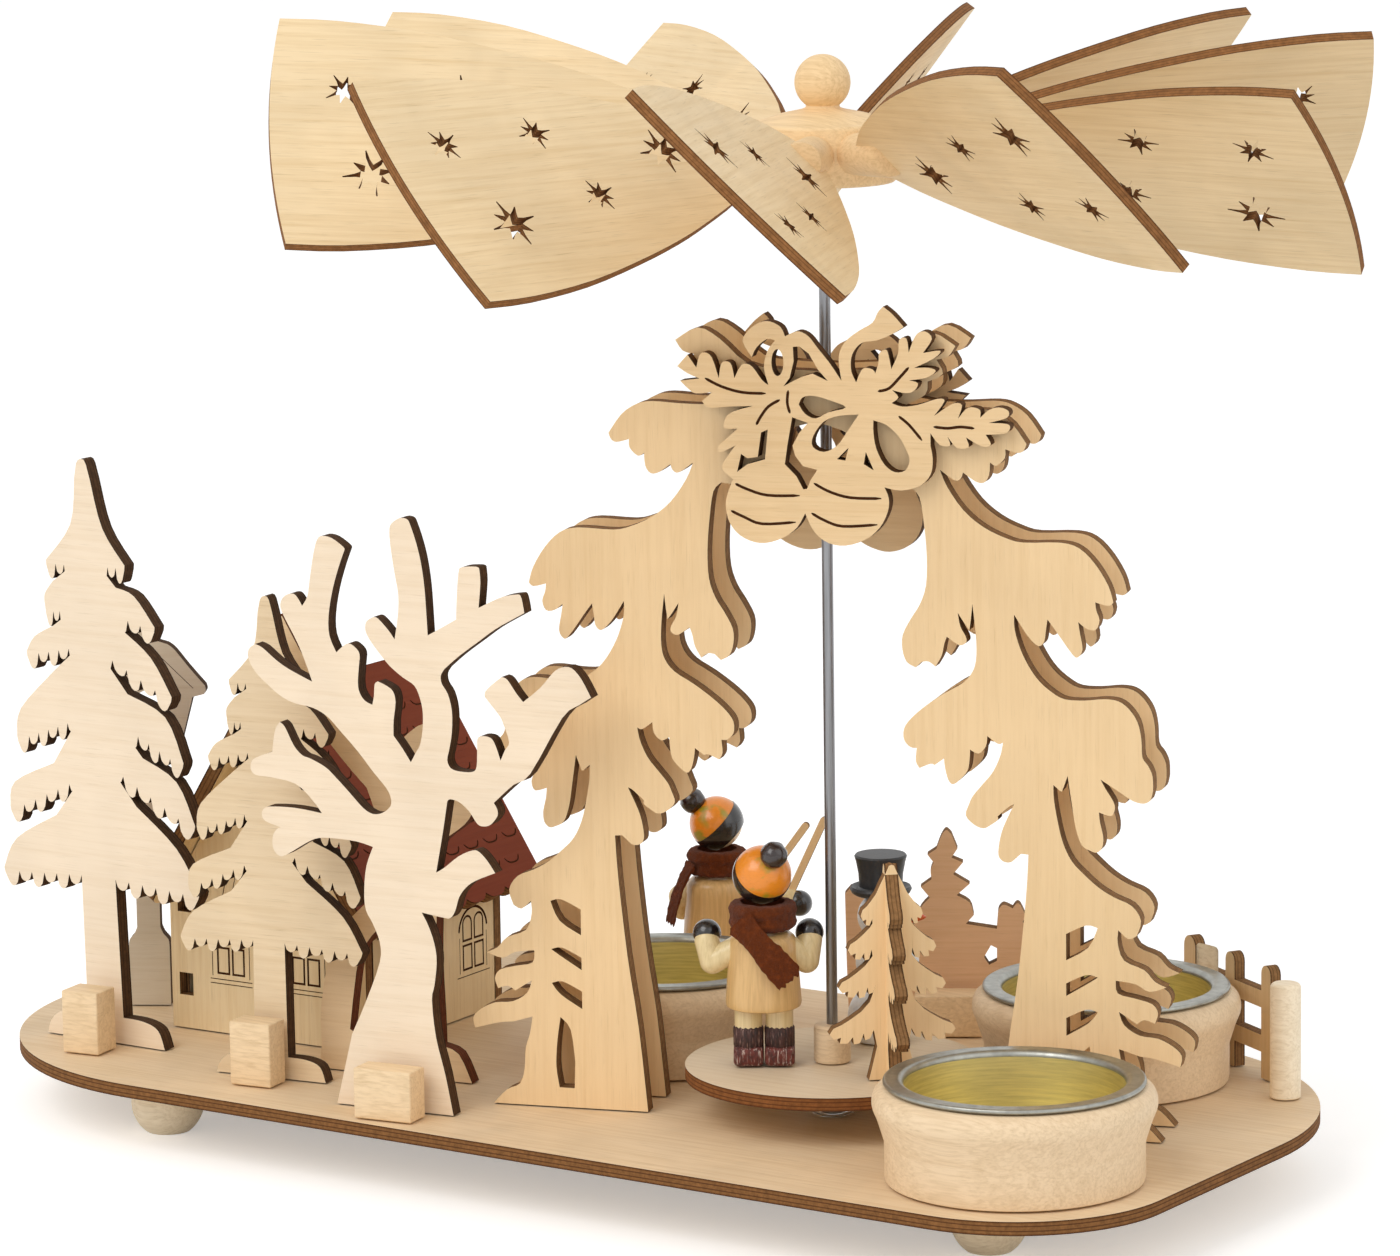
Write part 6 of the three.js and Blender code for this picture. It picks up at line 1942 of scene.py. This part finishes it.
    def post(self) -> BMesh:
        """Turns a fence post with a softly rounded top."""
        r, top = self.post_diameter / 2, self.post_height
        crown = arc((r - 0.9, top - 0.9), 0.9, 0, 90, 6)
        return turned([(0, 0), (r - 0.2, 0), (r, 0.2), (r, top - 1), *crown, (0, top)], 48)

    def build(self, bench: Bench) -> None:
        """Builds the plates, the fence with its posts and the blocks."""
        board = raised(BaseBoard.thickness + SpruceArch.seat)
        plates = [
            ("fir_front", self.fir(), PALE_PLY, self.front_fir),
            ("fir_middle", self.fir(scale=0.81, lean=0.024, sheet=4.0), MILD_PLY, self.middle_fir),
            ("bare_tree_front", self.front_tree(), PALE_PLY, self.bare_tree),
            ("bare_tree_rear", self.back_tree(), REAR_PLY, self.rear_tree),
            ("bird_house", self.bird_box(), GREY_PLY, self.bird_house),
            # The back panel's browner plywood is painted shade.
            ("back_panel", self.panel(), PANEL_PLY_PAINTED_SHADE, self.back_panel),
        ]
        for node, plate, finishes, spot in plates:
            bench.fit(plate.mesh(), node, finishes, place=board @ spot.matrix())
        fence = board @ self.fence.matrix()
        # The posts take the paler turned beech: painted light against the shade they stand in.
        bench.fit(self.fence_mesh(), "fence", [*FENCE_PLY, TURNED_LIGHTENED_FOR_SHADE], place=fence)
        ahead = self.post_diameter / 2 + SpruceArch.seat
        bench.fit(self.post(), "fence_post", [TURNED_LIGHTENED_FOR_SHADE],
                  place=fence @ Matrix.Translation((self.posts[1], -ahead, 0)))
        for node, spot, size in self.stop_blocks:
            bench.fit(block(size, 0.35, 3), node, [BLOCK], place=board @ spot.matrix())


@dataclass
class House:
    """The timbered house: two gables, two side walls and two scalloped roof boards.

    Attributes:
        place: Where its front left corner stands.
        width, depth, eaves, slope: Its sizes and the roof's slope in degrees.
        wall: The walls' thickness.
        roof: The roof's thickness.
        over_front, over_back: How far the roof reaches past the gables.
        drop_left, drop_right: How far the roof boards reach past the side walls along their slope.
        seat: The glue line between two pieces.
        line, fine_line: The widths of the engraved lines of the walls and round the panes.
        shingle_line, shingle_depth: The width and depth of the lines on the roof.
    """

    place: Place = Place(-152.8, -9.6, 0.0, 2.0)
    width: float = 48.0
    depth: float = 48.0
    eaves: float = 26.9
    slope: float = 57.5
    wall: float = 2.4
    roof: float = 3.0
    over_front: float = 5.0
    over_back: float = 9.0
    drop_left: float = 0.6
    drop_right: float = 3.6
    seat: float = 0.3
    line: float = 0.56
    fine_line: float = 0.448
    shingle_line: float = 0.34
    shingle_depth: float = 0.25

    @property
    def side_length(self) -> float:
        """The length of a side wall, which stands between the gables."""
        return self.depth - 2 * self.wall - 2 * self.seat

    @property
    def rise(self) -> float:
        """How far the ridge of the gables lies above the eaves."""
        return self.width / 2 * math.tan(math.radians(self.slope))

    def casement(self, low: Point, high: Point, columns: int, rows: int) -> tuple[list[Ring], list[Line]]:
        """Draws an engraved casement: its panes, a frame round them and a sill below.

        Args:
            low, high: The corners of the panes' field.
            columns, rows: How many panes it has each way.

        Returns:
            The rings and the strokes, none of which cross.
        """
        (x0, z0), (x1, z1) = low, high
        bar = 0.25
        rings = []
        for column in range(columns):
            for row in range(rows):
                left, right = (x0 + (x1 - x0) * (column + k) / columns for k in (0, 1))
                bottom, top = (z0 + (z1 - z0) * (row + k) / rows for k in (0, 1))
                rings.append(framed((left + bar, bottom + bar), (right - bar, top - bar), self.fine_line))
        jambs = [[(x, z1 + 0.6), (x, z0 - 0.2)] for x in (x0 - 0.9, x1 + 0.9)]
        levels = ((1.3, z1 + 1.1), (1.5, z0 - 0.8), (1.5, z0 - 1.7))
        lines = [[(x0 - past, z), (x1 + past, z)] for past, z in levels]
        return rings, [ribbon(line, self.line) for line in (*jambs, *lines)]

    def gable(self, pierced: bool, sheet: float) -> Plate:
        """Draws a gable with its casements and its timbers, and with two dark windows if it is pierced."""
        middle, ridge = self.width / 2, self.eaves + self.rise
        outline = [(0, 0), (self.width, 0), (self.width, self.eaves), (middle, ridge), (0, self.eaves)]
        near, far, tall = 1.9, 5.3, 4.6
        dark = [[(near, z), (far, z), (far, z + tall), (near, z + tall)] for z in (6.8, 24.0)]
        sill, head, attic_sill, attic_head = 11.8, 18.0, 33.4, 40.6
        windows = (((11.2, sill), (18.6, head)), ((29.8, sill), (37.2, head)),
                   ((20.6, attic_sill), (27.4, attic_head)))
        rings, strokes = [], []
        for low, high in windows:
            panes, lines = self.casement(low, high, 2, 1)
            rings += panes
            strokes += lines
        side_gap, slope_gap = 8.4, 2.4
        beams = []
        for level in (24.4, 26.0, 46.4, 47.8):
            half = (ridge - level) / math.tan(math.radians(self.slope)) - slope_gap
            reach = min(middle - side_gap, half)
            beams.append([(middle - reach, level), (middle + reach, level)])
        beams += [[(x, 27.2), (x + (1.4 if x < middle else -1.4), 33.0)] for x in (13.0, 15.2, 32.8, 35.0)]
        beams += [[(x, 49.2), (middle + (x - middle) * 0.8, 57.0)] for x in (22.6, 25.4)]
        strokes += [ribbon(beam, self.line) for beam in beams]
        return Plate(outline, self.wall, dark if pierced else [], strokes, rings, sheet=sheet)

    def side(self, sheet: float) -> Plate:
        """Draws a side wall with its arched window and beam ends."""
        below_roof = 0.6
        height = self.eaves - below_roof
        outline = [(0, 0), (self.side_length, 0), (self.side_length, height), (0, height)]
        rings, strokes = self.casement((8.0, 9.6), (15.4, 16.6), 2, 2)
        left, right, sill, top = 30.4, 40.0, 8.6, 22.6
        middle = (left + right) / 2
        for low, high, arched in ((sill + 1, sill + 6.4, False), (sill + 7, top - 1.6, True)):
            for start, end in ((left + 1, middle - 0.3), (middle + 0.3, right - 1)):
                rings.append(framed((start, low), (end, high), self.fine_line, arched))
        surround = [[(x, sill + 0.6), (x, top - 6)] for x in (left, right)]
        surround.append(arc((middle, top - 5.2), 5.0, 4, 176, 14))
        surround.append([(left - 1, sill - 0.2), (right + 1, sill - 0.2)])
        strokes += [ribbon(line, self.line) for line in surround]
        beam_ends, first, step = 4, 1.6, 6.4
        for i in range(beam_ends):
            x = first + step * i
            rings.append(framed((x, height - 4.2), (x + 2.2, height - 1.6), self.fine_line))
        return Plate(outline, self.wall, [], strokes, rings, sheet=sheet)

    def slab(self, sheet: float, drop: float) -> BMesh:
        """Makes the left roof board, mitred at the ridge, with rows of engraved shingles.

        Args:
            sheet: Where in the veneer it was cut.
            drop: How far it reaches past the wall along its slope.

        Returns:
            The mesh, the ridge over its origin.
        """
        length = self.depth + self.over_front + self.over_back
        slope = math.radians(self.slope)
        reach = self.width / 2 / math.cos(slope) + drop
        columns, rows, past_ridge, scallop = 9, 9, 6.0, 1.2
        outline = [(0.0, past_ridge)]
        for i in range(columns):
            start, end = length * i / columns, length * (i + 1) / columns
            outline += smooth([(start, -reach), (start + (end - start) * 0.25, -reach - scallop),
                               (start + (end - start) * 0.75, -reach - scallop), (end, -reach)], 3)[:-1]
        outline += [(length, -reach), (length, past_ridge)]
        step = length / columns
        strokes = []
        for row in range(1, rows):
            level = -reach + row * reach / rows
            shift = 0.5 * step * (row % 2)
            for i in range(columns - row % 2):
                start = shift + i * step
                shingle = [(start + 0.9, level + 0.2), (start + step * 0.3, level - 1.0),
                           (start + step * 0.7, level - 1.0), (start + step - 0.9, level + 0.2)]
                strokes.append(ribbon(shingle, self.shingle_line, 3))
        bm = Plate(outline, self.roof, [], strokes, groove=self.shingle_depth, sheet=sheet).mesh()
        for face in bm.faces:
            if face.material_index == Cut.FACE.value and face.normal.y > 0.9:
                face.material_index = UNDERSIDE
        s, c = math.sin(slope), math.cos(slope)
        along = Matrix(((0, s, c, 0), (-1, 0, 0, 0), (0, -c, s, 0), (0, 0, 0, 1)))
        out = Vector((-s, 0.0, c)) * self.roof
        placed(bm, Matrix.Translation(out) @ along @ Matrix.Translation((-length / 2, 0, 0)))
        made = bmesh.ops.bisect_plane(bm, geom=[*bm.verts, *bm.edges, *bm.faces], dist=0.0001,
                                      plane_co=(-self.seat / 2, 0, 0), plane_no=(1, 0, 0), clear_outer=True)
        rim = [part for part in made["geom_cut"] if isinstance(part, BMEdge)]
        bmesh.ops.triangle_fill(bm, edges=rim, use_beauty=True, normal=(1, 0, 0))
        bmesh.ops.recalc_face_normals(bm, faces=bm.faces)
        return bm

    def build(self, bench: Bench) -> None:
        """Builds the walls and the roof."""
        house = raised(BaseBoard.thickness + self.seat) @ self.place.matrix()
        length = self.side_length
        back = Matrix.Translation((self.width, self.depth, 0)) @ spun(180)
        right = Matrix.Translation((self.width, (self.depth - length) / 2, 0)) @ spun(90)
        left = Matrix.Translation((0, (self.depth + length) / 2, 0)) @ spun(-90)
        walls = [
            ("house_gable_front", self.gable(True, 13.0), Matrix()),
            ("house_gable_back", self.gable(False, 14.0), back),
            ("house_wall_left", self.side(15.0), left),
            ("house_wall_right", self.side(16.0), right),
        ]
        for node, plate, place in walls:
            bench.fit(plate.mesh(), node, WALL_PLY, place=house @ place)
        ridge = self.eaves + self.rise + self.seat / math.cos(math.radians(self.slope))
        middle = self.depth / 2 + (self.over_back - self.over_front) / 2
        top = house @ Matrix.Translation((self.width / 2, middle, ridge))
        bench.fit(self.slab(17.0, self.drop_left), "house_roof_left", ROOF_PLY, place=top)
        bench.fit(self.slab(18.0, self.drop_right), "house_roof_right", ROOF_PLY,
                  place=top @ spun(180))


@dataclass
class RearChild:
    """The child behind the left cup, with skis under its stretched arm.

    Attributes:
        place: Where it stands.
        arm_at: Where the arm with the skis begins.
        skis: Each ski's middle across, its lean in degrees, its low end and its high end.
        ski_width, ski_ply: The width and thickness of a ski.
    """

    place: Place = Place(-71.0, 67.0, 0.0, 20.0)
    arm_at: Point3 = (9.6, 0.0, 22.2)
    skis: tuple[tuple[float, ...], ...] = ((-1.6, 36.0, -1.0, 18.5), (5.4, 25.0, -7.0, 18.0))
    ski_width: float = 1.5
    ski_ply: float = 1.0

    def ski_arm(self) -> BMesh:
        """Makes the arm, the mitt and two slats with rounded tips."""
        sleeve_slot = len(WARM_PLY)
        parts = [
            (limb([(0, 0, 0), (6.6, 0, -1.4)], [2.5, 2.45]), sleeve_slot),
            (ball(Child.mitt, (7.6, 0, -1.6)), sleeve_slot + 1),
        ]
        half = self.ski_width / 2
        for x, lean, low, high in self.skis:
            outline = [(-half, low), (half, low), *arc((0, high - half), half, 0, 180, 10)]
            place = Matrix.Translation((x, 0.7, 0)) @ spun(lean, "Y")
            parts.append((placed(Plate(outline, self.ski_ply, sheet=x).mesh(), place), None))
        return together(*parts)

    def build(self, bench: Bench) -> None:
        """Builds the child and its skis."""
        place = raised(foot_of("rear_child_body")) @ self.place.matrix()
        left_arm = [(-5, 0, 22.6), (-8.4, 2, 20.6), (-8.6, 4.4, 17.6)]
        child = Child("rear_child", [left_arm], lean=(-4.6, -2, 5),
                      tail=((-4.4, -4.8, 3), (-8.4, -6.6, -8.6)), band=6.3, tail_width=3.6)
        child.build(bench, "stand", place)
        bench.fit(self.ski_arm(), "rear_child_ski_arm", [*WARM_PLY, LIMB, BLACK],
                  place=place @ Matrix.Translation(self.arm_at))


@dataclass
class Studio:
    """A pale floor, soft light from above and the left, and the camera of the photograph.

    Attributes:
        turn: How far the photograph's right is turned from the model's, in degrees.
        distance, height: How far the camera stands from the shaft and above the board, in millimetres.
        pan, tilt, roll: How the camera looks, in degrees.
        lens, film: Its focal length and the width of its picture.
        sky: The light from all round.
        floor_glow: How much the floor shines to meet the white behind it.
    """

    turn: float = 32.896
    distance: float = 1107.9
    height: float = 286.4
    pan: float = -1.241
    tilt: float = -9.849
    roll: float = -0.804
    lens: float = 154.286
    film: float = 36.0
    sky: float = 0.72
    floor_glow: float = 0.34

    def camera(self) -> None:
        """Sets up the camera."""
        pan, tilt, roll = (math.radians(angle) for angle in (self.pan, self.tilt, self.roll))
        look = Vector((math.sin(pan) * math.cos(tilt), math.cos(pan) * math.cos(tilt), math.sin(tilt)))
        level = Vector((math.cos(pan), -math.sin(pan), 0.0))
        above = level.cross(look)
        right = level * math.cos(roll) + above * math.sin(roll)
        up = right.cross(look)
        axes = Matrix((right, up, -look)).transposed().to_4x4()
        spot = (ORIGIN + Vector((0, 0, BaseBoard.thickness))) * MM
        stand = Matrix.Translation(Vector((0.0, -self.distance, self.height)) * MM)
        camera = bpy.data.cameras.new("camera")
        camera.lens = self.lens
        camera.sensor_width = self.film
        camera.clip_start, camera.clip_end = 0.05, 20.0
        view = bpy.data.objects.new("camera", camera)
        view.matrix_world = Matrix.Translation(spot) @ spun(self.turn) @ stand @ axes
        bpy.context.scene.collection.objects.link(view)
        bpy.context.scene.camera = view

    def lamp(self, name: str, energy: float, size: float, spot: Point3, aim: Point3) -> None:
        """Adds a square lamp, its place and aim in metres along the photograph's own axes."""
        light = bpy.data.lights.new(name, "AREA")
        light.energy, light.size = energy, size
        lamp = bpy.data.objects.new(name, light)
        turn = spun(self.turn)
        place, target = turn @ Vector(spot), turn @ Vector(aim)
        aimed = (target - place).to_track_quat("-Z", "Y").to_matrix().to_4x4()
        lamp.matrix_world = Matrix.Translation(place) @ aimed
        bpy.context.scene.collection.objects.link(lamp)

    def seen(self, tree: bpy.types.NodeTree) -> bpy.types.NodeSocket:
        """Adds nodes that give 1 to the rays by which the background is seen."""
        path = tree.nodes.new("ShaderNodeLightPath")
        total = path.outputs["Is Camera Ray"]
        for name in ("Is Glossy Ray", "Is Transmission Ray"):
            both = tree.nodes.new("ShaderNodeMath")
            both.operation = "MAXIMUM"
            tree.links.new(total, both.inputs[0])
            tree.links.new(path.outputs[name], both.inputs[1])
            total = both.outputs[0]
        return total

    def world(self) -> None:
        """Makes the world white to the eye, and a plain soft light to the object."""
        world = bpy.data.worlds.new("studio")
        world.use_nodes = True
        tree = world.node_tree
        shade = tree.nodes["Background"]
        shade.inputs["Color"].default_value = (1.0, 1.0, 1.0, 1.0)
        light = tree.nodes.new("ShaderNodeMapRange")
        light.inputs["To Min"].default_value = self.sky
        light.inputs["To Max"].default_value = 1.0
        tree.links.new(self.seen(tree), light.inputs["Value"])
        tree.links.new(light.outputs[0], shade.inputs["Strength"])
        bpy.context.scene.world = world

    def floor(self) -> None:
        """Lays the floor: white, and just bright enough to meet the background."""
        bm = bmesh.new()
        bmesh.ops.create_circle(bm, cap_ends=True, segments=96, radius=6.0)
        mesh = bpy.data.meshes.new("floor")
        bm.to_mesh(mesh)
        bm.free()
        dye = Dye("studio_floor")
        lift = dye.node("ShaderNodeMath", {"operation": "MULTIPLY"}, {
            0: self.seen(dye.tree), 1: self.floor_glow})
        glow = dye.node("ShaderNodeEmission", {}, {"Strength": lift.outputs[0]})
        both = dye.node("ShaderNodeAddShader", {}, {0: dye.shader.outputs[0], 1: glow.outputs[0]})
        output = dye.tree.nodes["Material Output"]
        dye.tree.links.new(both.outputs[0], output.inputs["Surface"])
        mesh.materials.append(dye.finish((0.9, 0.9, 0.9, 1.0), 0.9))
        floor = bpy.data.objects.new("floor", mesh)
        bpy.context.scene.collection.objects.link(floor)

    def build(self) -> None:
        """Builds the floor, the lamps, the world and the camera."""
        self.camera()
        self.world()
        self.floor()
        aim = (0.0, 0.0, 0.1)
        self.lamp("key_light", 12.0, 1.1, (-0.9, -1.0, 1.3), aim)
        self.lamp("fill_light", 3.6, 1.4, (1.2, -0.9, 0.9), aim)
        bpy.context.scene.view_settings.view_transform = "Standard"


def main() -> None:
    """Builds every sub-assembly and the studio."""
    logging.basicConfig(level=logging.INFO, format="%(name)s: %(message)s")
    Studio().build()
    bench = Bench()
    for kind in (BaseBoard, SpruceArch, CandleCups, WingWheel, TurningFigures, Village, House, RearChild):
        log.info("%s", kind.__name__)
        kind().build(bench)
    log.info("%d pieces", bench.count)


if __name__ == "__main__":
    main()
